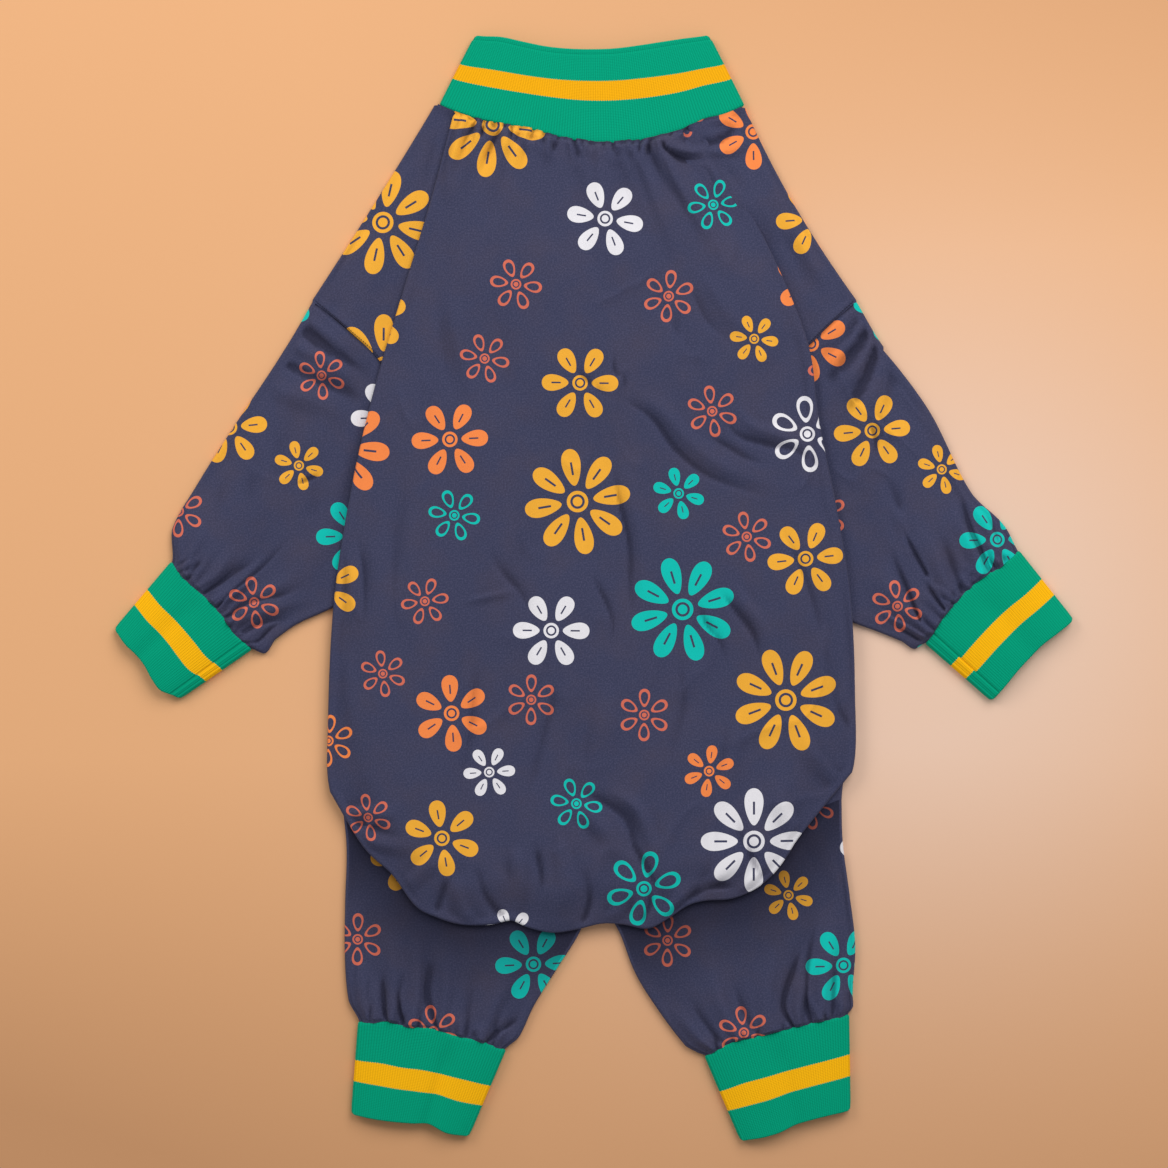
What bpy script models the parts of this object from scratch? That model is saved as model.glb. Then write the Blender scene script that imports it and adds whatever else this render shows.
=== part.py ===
"""Dog jumpsuit, laid flat on its belly with the back up: a striped rib collar, a back
panel whose edges fold under, a belly panel, two front and two hind legs, and a striped
rib cuff on each leg. Every piece is a hollow cloth wall, open where the dog goes in.

Metres, +Z up, +Y towards the collar. The origin is on the surface that the belly rests
on, on the centre line.
"""

import math

import bmesh
import bpy
from mathutils import Vector

# Cloth, rib and the bends that they lie in
CLOTH = 0.0012              # jersey wall
RIB = 0.0020                # doubled rib knit wall
EDGE_BEND = 0.0023          # radius of a leg's or the belly's edge, at mid wall
FOLD_BEND = 0.0015          # radius of the back panel's fold, at mid wall
RIB_BEND = 0.0024           # radius of a cuff's or the collar's edge, at mid wall
SEAM_GAP = 0.0005           # between two pieces that are sewn edge to edge
LAYER_GAP = 0.0004          # between two layers that lie on each other

# Back panel
BACK_WIDTH = 0.370          # fold to fold, across the belly
BACK_LENGTH = 0.550         # neck seam to rump fold, down the centre line
BACK_CROWN = 0.0060         # how far the middle stands above the folds
TUCK_DEPTH = 0.042          # how far the cloth goes back in under the side folds
SPINE_END = -0.121          # where the creases of the rump fan out from, in Y

# Neck and collar
NECK_Y = 0.310              # lowest point of the neck seam
NECK_WIDTH = 0.213
NECK_SAG = 0.027            # the seam's ends lie this far above its middle
COLLAR_MOUTH = 0.164
COLLAR_RISE = 0.049         # from a seam corner up to a mouth corner
COLLAR_DIP = 0.010          # how far the mouth dips between its corners
COLLAR_CROWN = 0.0034
NECK_CROWN = 0.0052         # the collar is fuller where the cloth is gathered into it

# Belly panel, with the shoulder pieces that turn up round its sides
SHOULDER_Y = 0.200          # outer end of the armhole seams
UNDERLAP = 0.0010           # the belly's edge lies this far inside the back's fold
CROTCH_Y = -0.217
LIMB_CROWN = 0.0042         # how far the middle of a leg stands above its edges
CROWN_RUN = 0.030           # the distance over which it rises
CROWN_START = 0.012         # how far outside the back's fold it begins

# Cuffs
CUFF_CROWN = 0.0034

# Gathers
PUCKER = 0.0011             # height of the gathers at a seam
PUCKER_RUN = 0.026          # how far they run from it
NECK_PUCKERS = 3            # on each side of the centre line
WRIST_PUCKERS = 4

# Each side as it lies, in metres from the centre line and from the origin in Y. spread
# is how much wider the cloth is than the collar, and dip how far the shoulder edge
# hollows between the neck and the armhole.
SIDES = {
    "left": {"sign": -1, "spread": 0.004, "dip": 0.001, "shoulder": 0.195,
             "underarm": 0.173, "underarm_y": -0.009, "hip": 0.173, "hip_y": -0.153},
    "right": {"sign": 1, "spread": 0.001, "dip": 0.005, "shoulder": 0.1845,
              "underarm": 0.172, "underarm_y": -0.017, "hip": 0.173, "hip_y": -0.149},
}

# Each leg as it lies. reach and heading run from the middle of its body seam to the
# middle of its cuff seam, square is the way the cuff seam faces, axis the way the cuff
# points. Angles are in degrees from +X.
LEGS = {
    "front_leg_left": {"side": "left", "reach": 0.137, "heading": 232.3, "square": 222.5,
                       "wrist": 0.082, "cuff": 0.0605, "axis": 222.2, "mouth": 0.066},
    "front_leg_right": {"side": "right", "reach": 0.1325, "heading": -47.8, "square": -45.3,
                        "wrist": 0.091, "cuff": 0.0605, "axis": -46.4, "mouth": 0.080},
    "hind_leg_left": {"side": "left", "reach": 0.132, "heading": -100.6, "square": -100.8,
                      "wrist": 0.104, "cuff": 0.064, "axis": -103.8, "mouth": 0.083},
    "hind_leg_right": {"side": "right", "reach": 0.138, "heading": -72.4, "square": -74.0,
                       "wrist": 0.104, "cuff": 0.064, "axis": -78.2, "mouth": 0.079},
}

# A leg's edges between its two seams. along is a share of the edge, and outer and inner
# are how far that edge stands out from a straight line, as shares of the leg's reach.
LEG_EDGES = {
    "front_leg_left": [
        {"along": 0.00, "outer": 0.000, "inner": 0.000},
        {"along": 0.20, "outer": 0.012, "inner": -0.004},
        {"along": 0.50, "outer": 0.052, "inner": -0.010},
        {"along": 0.75, "outer": 0.078, "inner": 0.012},
        {"along": 0.90, "outer": 0.080, "inner": 0.052},
        {"along": 1.00, "outer": 0.000, "inner": 0.000},
    ],
    "front_leg_right": [
        {"along": 0.00, "outer": 0.000, "inner": 0.000},
        {"along": 0.15, "outer": -0.010, "inner": 0.018},
        {"along": 0.45, "outer": 0.010, "inner": 0.022},
        {"along": 0.75, "outer": -0.038, "inner": 0.032},
        {"along": 0.90, "outer": 0.012, "inner": 0.050},
        {"along": 1.00, "outer": 0.000, "inner": 0.000},
    ],
    "hind_leg_left": [
        {"along": 0.00, "outer": 0.000, "inner": 0.000},
        {"along": 0.20, "outer": -0.004, "inner": 0.040},
        {"along": 0.45, "outer": 0.026, "inner": 0.031},
        {"along": 0.70, "outer": 0.050, "inner": 0.021},
        {"along": 0.90, "outer": 0.048, "inner": 0.033},
        {"along": 1.00, "outer": 0.000, "inner": 0.000},
    ],
    "hind_leg_right": [
        {"along": 0.00, "outer": 0.000, "inner": 0.000},
        {"along": 0.20, "outer": 0.000, "inner": -0.008},
        {"along": 0.45, "outer": 0.027, "inner": 0.050},
        {"along": 0.68, "outer": 0.048, "inner": 0.063},
        {"along": 0.90, "outer": 0.028, "inner": 0.055},
        {"along": 1.00, "outer": 0.000, "inner": 0.000},
    ],
}

# The armhole seam. Both columns are shares of the straight line from its shoulder end
# to its underarm end.
ARMHOLE = [
    {"along": 0.000, "inward": 0.000},
    {"along": 0.114, "inward": 0.110},
    {"along": 0.242, "inward": 0.208},
    {"along": 0.439, "inward": 0.218},
    {"along": 0.665, "inward": 0.150},
    {"along": 0.867, "inward": 0.060},
    {"along": 1.000, "inward": 0.000},
]

# The fold round the back panel, from the left end of its neck seam round the rump to
# the right end. across is a share of half BACK_WIDTH, down of BACK_LENGTH from NECK_Y,
# tuck of TUCK_DEPTH. The rump's tuck ends where the hind legs are sewn on.
BACK_FOLD = [
    {"across": -0.523, "down": -0.042, "tuck": 0.25},
    {"across": -0.610, "down": 0.069, "tuck": 0.50},
    {"across": -0.720, "down": 0.191, "tuck": 0.80},
    {"across": -0.822, "down": 0.307, "tuck": 1.00},
    {"across": -0.909, "down": 0.433, "tuck": 1.00},
    {"across": -0.977, "down": 0.579, "tuck": 1.00},
    {"across": -1.000, "down": 0.733, "tuck": 0.80},
    {"across": -0.992, "down": 0.824, "tuck": 0.70},
    {"across": -0.894, "down": 0.883, "tuck": 0.70},
    {"across": -0.682, "down": 0.964, "tuck": 1.00},
    {"across": -0.439, "down": 0.994, "tuck": 1.00},
    {"across": -0.167, "down": 1.002, "tuck": 1.00},
    {"across": 0.030, "down": 0.994, "tuck": 1.00},
    {"across": 0.220, "down": 0.997, "tuck": 1.00},
    {"across": 0.409, "down": 0.966, "tuck": 1.00},
    {"across": 0.621, "down": 0.948, "tuck": 1.00},
    {"across": 0.852, "down": 0.856, "tuck": 0.70},
    {"across": 0.985, "down": 0.799, "tuck": 0.70},
    {"across": 0.996, "down": 0.695, "tuck": 0.80},
    {"across": 0.980, "down": 0.579, "tuck": 1.00},
    {"across": 0.932, "down": 0.472, "tuck": 1.00},
    {"across": 0.860, "down": 0.351, "tuck": 1.00},
    {"across": 0.815, "down": 0.249, "tuck": 0.90},
    {"across": 0.663, "down": 0.126, "tuck": 0.60},
    {"across": 0.520, "down": 0.044, "tuck": 0.40},
    {"across": 0.400, "down": -0.024, "tuck": 0.25},
]
LEFT_FOLD_END = 7           # row of BACK_FOLD where the left side turns into the rump
RIGHT_FOLD_END = 17         # row where the rump turns into the right side

# Broad creases of the back panel. Both ends and the width are shares of BACK_WIDTH
# across and BACK_LENGTH down, and height is a share of BACK_CROWN.
CREASES = [
    {"across": 0.10, "down": 0.03, "to_across": 0.22, "to_down": 0.24, "width": 0.050, "height": -0.30},
    {"across": 0.15, "down": 0.02, "to_across": 0.33, "to_down": 0.20, "width": 0.055, "height": 0.30},
    {"across": -0.24, "down": 0.00, "to_across": -0.27, "to_down": 0.22, "width": 0.050, "height": 0.25},
    {"across": 0.05, "down": 0.82, "to_across": 0.13, "to_down": 0.97, "width": 0.060, "height": -0.35},
    {"across": 0.20, "down": 0.90, "to_across": 0.30, "to_down": 0.96, "width": 0.055, "height": 0.30},
    {"across": -0.30, "down": 0.90, "to_across": -0.20, "to_down": 0.98, "width": 0.060, "height": 0.25},
]

# How finely each wall is faceted
BEND_STEPS = 3              # round a half turn
BACK_SIDE_STEPS = 12
BACK_RUMP_STEPS = 16
BACK_ACROSS_STEPS = 12      # from the centre line to a fold
TUCK_STEPS = 2
SHOWN_STEPS = 3             # of the belly's turned-up sides, where the back leaves them bare
ARM_STEPS = 12
BELLY_ACROSS_STEPS = 12
SHOULDER_STEPS = 4
FLANK_STEPS = 4
SEAT_STEPS = 2
LEG_ACROSS_STEPS = 12
FRONT_LEG_STEPS = 8
HIND_LEG_STEPS = 7
COLLAR_ACROSS_STEPS = 18
COLLAR_STEPS = 4
CUFF_ACROSS_STEPS = 8
CUFF_STEPS = 3
CURVE_STEPS = 8             # between two rows of a table, for distances and crossings
FRONT_BLEND = 1.5           # how fast a front leg loses the armhole's curve

# Heights of the layers at mid wall, from the ground up
GROUND = CLOTH / 2
LOWER_TOP = GROUND + 2 * EDGE_BEND
TUCK_LEVEL = LOWER_TOP + CLOTH + LAYER_GAP
BACK_LEVEL = TUCK_LEVEL + 2 * FOLD_BEND

# How far the belly's edge bends stop short of a leg's
CORNER_CLEAR = EDGE_BEND + CLOTH / 2 + SEAM_GAP

COLOURS = {
    "navy_jersey": (0.045, 0.045, 0.085, 1.0),
    "green_rib": (0.005, 0.36, 0.21, 1.0),
}


def smooth(t):
    """Rises from 0 to 1 with level ends."""
    t = min(1.0, max(0.0, t))
    return t * t * (3 - 2 * t)


def lerp(a, b, t):
    return a + (b - a) * t


def heading(degrees):
    """The unit vector in plan at that angle from +X."""
    return Vector((math.cos(math.radians(degrees)), math.sin(math.radians(degrees))))


def curve_point(points, position):
    """A point at that row number, whole or not, on a smooth curve through points."""
    last = len(points) - 1
    index = min(int(position), last - 1)
    t = position - index
    before = points[max(index - 1, 0)]
    start = points[index]
    end = points[index + 1]
    after = points[min(index + 2, last)]
    return 0.5 * (
        2 * start
        + (end - before) * t
        + (2 * before - 5 * start + 4 * end - after) * t ** 2
        + (3 * start - before - 3 * end + after) * t ** 3
    )


def column_at(rows, column, position):
    """A column's value at a row number between two rows."""
    index = min(int(position), len(rows) - 2)
    return lerp(rows[index][column], rows[index + 1][column], position - index)


def table_value(rows, column, along):
    """A column's value at a share of the way along, on a smooth curve through the rows."""
    index = next(i for i, row in enumerate(rows[1:]) if along <= row["along"])
    span = rows[index + 1]["along"] - rows[index]["along"]
    position = index + (along - rows[index]["along"]) / span
    return curve_point([row[column] for row in rows], position)


# Back panel's fold

def neck_y(x):
    """The neck seam, bowed down in the middle."""
    return NECK_Y + NECK_SAG * (2 * x / NECK_WIDTH) ** 2


def fold_points():
    """The rows of BACK_FOLD as points in plan, with both ends on the neck seam."""
    points = [
        Vector((row["across"] * BACK_WIDTH / 2, NECK_Y - row["down"] * BACK_LENGTH))
        for row in BACK_FOLD
    ]
    for end in (points[0], points[-1]):
        end.y = neck_y(end.x) - SEAM_GAP / 2
    return points


FOLD = fold_points()
FOLD_LINE = [
    curve_point(FOLD, i / CURVE_STEPS) for i in range((len(FOLD) - 1) * CURVE_STEPS + 1)
]


def fold_position(sign, y):
    """The row number where the fold's left (-1) or right (1) side crosses a height y."""
    first, end = (0, LEFT_FOLD_END) if sign < 0 else (len(FOLD) - 1, RIGHT_FOLD_END)
    steps = abs(end - first) * CURVE_STEPS
    line = [lerp(first, end, i / steps) for i in range(steps + 1)]
    heights = [curve_point(FOLD, position).y for position in line]
    if y >= heights[0]:
        return first
    for i in range(steps):
        if heights[i] >= y >= heights[i + 1]:
            share = (heights[i] - y) / (heights[i] - heights[i + 1])
            return lerp(line[i], line[i + 1], share)
    return end


def outside_fold(point):
    """How far a point in plan lies outside the back panel, or 0 under it."""
    inside = False
    nearest = math.inf
    line = FOLD_LINE
    for start, end in zip(line, line[1:] + line[:1]):
        along = end - start
        share = min(1.0, max(0.0, (point - start).dot(along) / along.length_squared))
        nearest = min(nearest, (point - start - along * share).length)
        if (start.y > point.y) != (end.y > point.y):
            crossing = start.x + (point.y - start.y) / along.y * along.x
            if crossing > point.x:
                inside = not inside
    return 0.0 if inside else nearest


def lower_rise(point, edge_distance):
    """How far a lower layer's top swells: nothing under the back panel or at an edge."""
    clear = smooth((outside_fold(point) - CROWN_START) / CROWN_RUN)
    return LIMB_CROWN * clear * smooth(edge_distance / CROWN_RUN)


# Seams that pieces share

def armhole_ends(side):
    shoulder = Vector((side["sign"] * side["shoulder"], SHOULDER_Y))
    underarm = Vector((side["sign"] * side["underarm"], side["underarm_y"]))
    return shoulder, underarm


def armhole_point(side, share):
    """A point on the armhole seam, from the shoulder (0) to the underarm (1)."""
    shoulder, underarm = armhole_ends(side)
    chord = underarm - shoulder
    inward = Vector((-side["sign"] * -chord.y, side["sign"] * -chord.x))
    rows = [
        shoulder + chord * row["along"] + inward * row["inward"] for row in ARMHOLE
    ]
    return curve_point(rows, share * (len(rows) - 1))


def armhole_inset(side):
    """The share of the seam that a leg's edge bend and wall take up at each end."""
    line = [armhole_point(side, i / ARM_STEPS) for i in range(ARM_STEPS + 1)]
    length = sum((b - a).length for a, b in zip(line, line[1:]))
    return CORNER_CLEAR / length


def armhole_shares(side):
    """Where both pieces have a corner on the armhole seam, between its two insets."""
    inset = armhole_inset(side)
    return [lerp(inset, 1 - inset, i / ARM_STEPS) for i in range(ARM_STEPS + 1)]


def hip(side):
    return Vector((side["sign"] * side["hip"], side["hip_y"]))


def seat_y(x):
    """The seam of the hind legs, which runs from both hips down to the crotch."""
    corner = hip(SIDES["left"] if x < 0 else SIDES["right"])
    return lerp(CROTCH_Y, corner.y, x / corner.x)


# Walls

def material(name):
    made = bpy.data.materials.get(name) or bpy.data.materials.new(name)
    made.use_nodes = True
    shader = made.node_tree.nodes["Principled BSDF"]
    shader.inputs["Base Color"].default_value = COLOURS[name]
    shader.inputs["Roughness"].default_value = 0.85
    shader.inputs["Metallic"].default_value = 0.0
    made.diffuse_color = COLOURS[name]
    return made


def wall(name, rows, thickness, colour, closed=False, skip=()):
    """A cloth wall lofted through rows of points, thickened to both sides.

    closed joins each row's last point to its first. skip holds the (row, column) of
    each cell left open.
    """
    work = bmesh.new()
    grid = [[work.verts.new(point) for point in row] for row in rows]
    columns = len(rows[0]) if closed else len(rows[0]) - 1
    for i in range(len(rows) - 1):
        for k in range(columns):
            if (i, k) in skip:
                continue
            after = (k + 1) % len(rows[0])
            work.faces.new((grid[i][k], grid[i][after], grid[i + 1][after], grid[i + 1][k]))
    bmesh.ops.remove_doubles(work, verts=work.verts, dist=1e-6)
    bmesh.ops.delete(
        work, geom=[v for v in work.verts if not v.link_faces], context="VERTS"
    )
    bmesh.ops.recalc_face_normals(work, faces=work.faces)
    mesh = bpy.data.meshes.new(name)
    work.to_mesh(mesh)
    work.free()
    piece = bpy.data.objects.new(name, mesh)
    collection.objects.link(piece)
    mesh.materials.append(material(colour))
    mesh.shade_smooth()
    thicken = piece.modifiers.new("wall", "SOLIDIFY")
    thicken.thickness = thickness
    thicken.offset = 0.0
    return piece


def bend(radius, steps=BEND_STEPS):
    """(outward, upward) of each point inside a half turn, from its top to its bottom."""
    angles = [math.pi * i / steps for i in range(1, steps)]
    return [(radius * math.sin(a), radius * (math.cos(a) + 1)) for a in angles]


def flat_ring(line, radius, base, rise):
    """A flattened tube's section over a line in plan: its top, an end, its ground side
    and the other end. rise(i) is how far point i of the top stands above its ends."""
    first = (line[0] - line[1]).normalized()
    last = (line[-1] - line[-2]).normalized()
    top = base + 2 * radius
    ring = [(p.x, p.y, top + rise(i)) for i, p in enumerate(line)]
    ring += [
        ((line[-1] + last * out).x, (line[-1] + last * out).y, base + up)
        for out, up in bend(radius)
    ]
    ring += [(p.x, p.y, base) for p in reversed(line)]
    ring += [
        ((line[0] + first * out).x, (line[0] + first * out).y, base + up)
        for out, up in reversed(bend(radius))
    ]
    return ring


# Back panel

def crease_height(point):
    """The broad creases at a point of the back panel, as a share of its crown."""
    total = 0.0
    scale = Vector((BACK_WIDTH, BACK_LENGTH))
    spot = Vector((point.x / scale.x, (NECK_Y - point.y) / scale.y))
    for row in CREASES:
        start = Vector((row["across"], row["down"]))
        along = Vector((row["to_across"], row["to_down"])) - start
        share = min(1.0, max(0.0, (spot - start).dot(along) / along.length_squared))
        distance = (spot - start - along * share).length
        total += row["height"] * math.exp(-((distance / row["width"]) ** 2))
    return total


def back_height(point, from_fold, from_neck):
    """The back panel's height at mid wall: level at its folds, fuller in the middle,
    gathered along the neck seam."""
    swell = smooth(from_fold / CROWN_RUN)
    neck = math.exp(-from_neck / PUCKER_RUN)
    crown = lerp(BACK_CROWN, NECK_CROWN - COLLAR_CROWN / 2, neck)
    pucker = math.cos(4 * math.pi * NECK_PUCKERS * point.x / NECK_WIDTH)
    return BACK_LEVEL + swell * (
        crown * (1 + crease_height(point)) + PUCKER * neck * pucker
    )


def back_row(position, spine, neck_share):
    """One row of the back panel, from the spine out to the fold and back in under it.
    neck_share is 1 on the neck seam, which is curved, and fades below it."""
    edge = curve_point(FOLD, position)
    out = (edge - spine).normalized()
    bend_start = edge - out * FOLD_BEND

    def placed(point, height):
        """The point, shifted so that the neck seam's row follows its curve."""
        straight = lerp(NECK_Y, neck_y(edge.x), point.x / edge.x)
        y = point.y + neck_share * (neck_y(point.x) - straight)
        return (point.x, y, height)

    row = []
    for j in range(BACK_ACROSS_STEPS + 1):
        point = spine.lerp(bend_start, j / BACK_ACROSS_STEPS)
        from_neck = max(0.0, neck_y(point.x) - placed(point, 0.0)[1])
        row.append(placed(point, back_height(point, (bend_start - point).length, from_neck)))
    for outward, up in bend(FOLD_BEND):
        row.append(placed(bend_start + out * outward, TUCK_LEVEL + up))
    depth = tuck_depth(position, bend_start, out)
    for j in range(TUCK_STEPS + 1):
        row.append(placed(bend_start - out * depth * j / TUCK_STEPS, TUCK_LEVEL))
    return row


def tuck_depth(position, start, out):
    """How far the cloth goes back in under the fold. Under the rump it ends over the
    seam of the hind legs."""
    depth = TUCK_DEPTH * column_at(BACK_FOLD, "tuck", position)
    if not LEFT_FOLD_END < position < RIGHT_FOLD_END:
        return depth
    steps = CURVE_STEPS * CURVE_STEPS
    for i in range(1, steps + 1):
        reach = 2 * TUCK_DEPTH * i / steps
        point = start - out * reach
        if point.y >= seat_y(point.x):
            return max(reach, FOLD_BEND)
    return depth


def back_panel():
    """The panel is a fan of rows: level ones down each side of the spine, and the
    rump's rows round its end."""
    rows = []
    side_rows = {}
    for sign, end in ((-1, LEFT_FOLD_END), (1, RIGHT_FOLD_END)):
        corner = FOLD[0] if sign < 0 else FOLD[-1]
        made = []
        for k in range(BACK_SIDE_STEPS + 1):
            share = k / BACK_SIDE_STEPS
            position = fold_position(sign, lerp(corner.y, FOLD[end].y, share))
            spine = Vector((0.0, lerp(NECK_Y - SEAM_GAP / 2, SPINE_END, share)))
            neck_share = 1 - smooth(3 * share)
            made.append(back_row(position, spine, neck_share))
        side_rows[sign] = made
    rows += side_rows[-1]
    for m in range(1, BACK_RUMP_STEPS):
        position = lerp(LEFT_FOLD_END, RIGHT_FOLD_END, m / BACK_RUMP_STEPS)
        rows.append(back_row(position, Vector((0.0, SPINE_END)), 0.0))
    rows += reversed(side_rows[1])
    return wall("back_panel", rows, CLOTH, "navy_jersey")


# Belly panel

def side_edge(side, y):
    """Where the belly's edge bend starts at a height y between the underarm and hip."""
    fold = curve_point(FOLD, fold_position(side["sign"], y))
    return fold.x - side["sign"] * (UNDERLAP + EDGE_BEND)


def turned_in(side, y):
    """How far from the centre line the belly's turned-up side ends, under the tuck."""
    position = fold_position(side["sign"], y)
    depth = TUCK_DEPTH * column_at(BACK_FOLD, "tuck", position)
    return curve_point(FOLD, position).x - side["sign"] * (depth + FOLD_BEND)


def belly_ends():
    """The ends of each row of the belly, left and right: (point, has an edge bend)."""
    ends = {}
    for name, side in SIDES.items():
        shoulder, underarm = armhole_ends(side)
        neck_x = side["sign"] * (NECK_WIDTH / 2 + side["spread"] - EDGE_BEND)
        neck = Vector((neck_x, neck_y(neck_x) - SEAM_GAP / 2))
        shoulder += (neck - shoulder).normalized() * CORNER_CLEAR
        made = []
        for i in range(SHOULDER_STEPS + 1):
            share = i / SHOULDER_STEPS
            point = neck.lerp(shoulder, share)
            point.x -= side["sign"] * side["dip"] * 4 * share * (1 - share)
            made.append((point, True))
        made += [(armhole_point(side, share), False) for share in armhole_shares(side)]
        corner = hip(side)
        below = underarm.y - 2 * CORNER_CLEAR
        for i in range(FLANK_STEPS + 1):
            y = lerp(below, corner.y + CORNER_CLEAR, i / FLANK_STEPS)
            x = side_edge(side, y)
            x = lerp(underarm.x, x, smooth(3 * i / FLANK_STEPS))
            x = lerp(x, corner.x, smooth(i / FLANK_STEPS * 3 - 2))
            made.append((Vector((x, y)), True))
        for i in range(1, SEAT_STEPS + 1):
            lift = Vector((0.0, CORNER_CLEAR * (1 - i / SEAT_STEPS)))
            made.append((corner + lift, False))
        ends[name] = made
    return list(zip(ends["left"], ends["right"]))


def belly_row(index, count, left, right, neck_ends):
    """One row of the belly: the left turned-up side, the ground side, the right one.
    The bow of the neck seam fades over the rows of the shoulders."""
    bow = (1 - smooth(index / SHOULDER_STEPS)) ** 2
    seat = max(0.0, (index - (count - 1 - SEAT_STEPS)) / SEAT_STEPS)

    def row_y(x):
        share = (x - left.x) / (right.x - left.x)
        at_neck = lerp(neck_ends[0], neck_ends[1], share)
        straight = lerp(neck_y(neck_ends[0]), neck_y(neck_ends[1]), share)
        level = lerp(left.y, right.y, share) + bow * (neck_y(at_neck) - straight)
        return lerp(level, seat_y(x) + SEAM_GAP / 2, seat)

    def turned_up(side, end):
        """Shown as far as the back's fold, and flat from there on."""
        sign = side["sign"]
        inner = turned_in(side, end.y)
        fold = curve_point(FOLD, fold_position(sign, end.y)).x
        edge = sign * min(abs(fold), lerp(abs(end.x), abs(inner), 1 / TUCK_STEPS))
        across = [lerp(end.x, edge, j / SHOWN_STEPS) for j in range(SHOWN_STEPS)]
        across += [lerp(edge, inner, j / TUCK_STEPS) for j in range(TUCK_STEPS + 1)]
        points = []
        for x in across:
            spot = Vector((x, row_y(x)))
            points.append((x, spot.y, LOWER_TOP + lower_rise(spot, abs(x - end.x))))
        return points

    def turn(end, sign):
        points = []
        for outward, up in bend(EDGE_BEND):
            x = end.x + sign * outward
            points.append((x, row_y(x), GROUND + up))
        return points

    row = list(reversed(turned_up(SIDES["left"], left)))
    row += turn(left, -1)
    for j in range(BELLY_ACROSS_STEPS + 1):
        x = lerp(left.x, right.x, j / BELLY_ACROSS_STEPS)
        row.append((x, row_y(x), GROUND))
    row += reversed(turn(right, 1))
    row += turned_up(SIDES["right"], right)
    return row


def belly_panel():
    """The belly lies on the ground, and its sides turn up and in. The edge bends are
    left out along the armholes."""
    ends = belly_ends()
    neck_ends = [end[0].x for end in ends[0]]
    rows = [
        belly_row(i, len(ends), left[0], right[0], neck_ends)
        for i, (left, right) in enumerate(ends)
    ]
    last = len(rows[0]) - 1
    open_cells = set()
    for i, ((_, bent), (_, next_bent)) in enumerate(
        (a[0], b[0]) for a, b in zip(ends, ends[1:])
    ):
        if not (bent and next_bent):
            for j in range(BEND_STEPS):
                open_cells.add((i, TUCK_STEPS + SHOWN_STEPS + j))
                open_cells.add((i, last - TUCK_STEPS - SHOWN_STEPS - 1 - j))
    return wall("belly_panel", rows, CLOTH, "navy_jersey", skip=open_cells)


# Legs

def body_seam(name):
    """A leg's seam on the body as points in plan, from its outer to its inner end, and
    the way the leg leaves it."""
    leg = LEGS[name]
    side = SIDES[leg["side"]]
    if name.startswith("front"):
        line = [armhole_point(side, share) for share in armhole_shares(side)]
    else:
        inner_x = side["sign"] * (SEAM_GAP / 2 + CLOTH / 2 + EDGE_BEND)
        inner = Vector((inner_x, seat_y(inner_x)))
        line = [
            hip(side).lerp(inner, i / LEG_ACROSS_STEPS)
            for i in range(LEG_ACROSS_STEPS + 1)
        ]
    return [point + seam_step(name, line, i) for i, point in enumerate(line)]


def seam_step(name, line, index):
    """Half the seam gap, square to the seam and away from the body."""
    before = line[max(index - 1, 0)]
    after = line[min(index + 1, len(line) - 1)]
    along = (after - before).normalized()
    square = Vector((along.y, -along.x))
    away = heading(LEGS[name]["heading"])
    return square * math.copysign(SEAM_GAP / 2, square.dot(away))


def cuff_seam(name, line):
    """The ends of the leg's cuff seam, outer and inner, less the edge bend."""
    leg = LEGS[name]
    sign = SIDES[leg["side"]]["sign"]
    middle = (line[0] + line[-1]) / 2 + heading(leg["heading"]) * leg["reach"]
    outward = heading(leg["square"] + sign * 90)
    half = leg["wrist"] / 2 - EDGE_BEND
    return middle, middle + outward * half, middle - outward * half


def leg_edges(name, line, share):
    """The outer and inner edge of a leg at a share of its length."""
    leg = LEGS[name]
    sign = SIDES[leg["side"]]["sign"]
    _, outer_end, inner_end = cuff_seam(name, line)
    points = []
    for start, end, column, turn in (
        (line[0], outer_end, "outer", sign),
        (line[-1], inner_end, "inner", -sign),
    ):
        along = (end - start).normalized()
        square = Vector((-along.y, along.x)) * turn
        bulge = table_value(LEG_EDGES[name], column, share) * leg["reach"]
        points.append(start.lerp(end, share) + square * bulge)
    return points


def leg(name, steps):
    """A leg lofted from its seam on the body to its cuff seam, gathered at the cuff."""
    line = body_seam(name)
    count = len(line) - 1
    rows = []
    for i in range(steps + 1):
        share = i / steps
        outer, inner = leg_edges(name, line, share)
        keep = (1 - share) ** FRONT_BLEND
        ring = []
        for k, point in enumerate(line):
            straight = line[0].lerp(line[-1], k / count)
            ring.append(outer.lerp(inner, k / count) + (point - straight) * keep)
        left_over = (1 - share) * LEGS[name]["reach"]
        gather = PUCKER * math.exp(-left_over / PUCKER_RUN)
        rows.append(flat_ring(ring, EDGE_BEND, GROUND, leg_rise(ring, gather)))
    return wall(name, rows, CLOTH, "navy_jersey", closed=True)


def leg_rise(ring, gather):
    """How far each point of a leg's top stands above its edges."""
    count = len(ring) - 1

    def rise(k):
        edge = min((ring[k] - ring[0]).length, (ring[k] - ring[-1]).length)
        pucker = gather * math.cos(2 * math.pi * WRIST_PUCKERS * k / count)
        return lower_rise(ring[k], edge) + pucker * math.sin(math.pi * k / count) ** 2

    return rise


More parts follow.
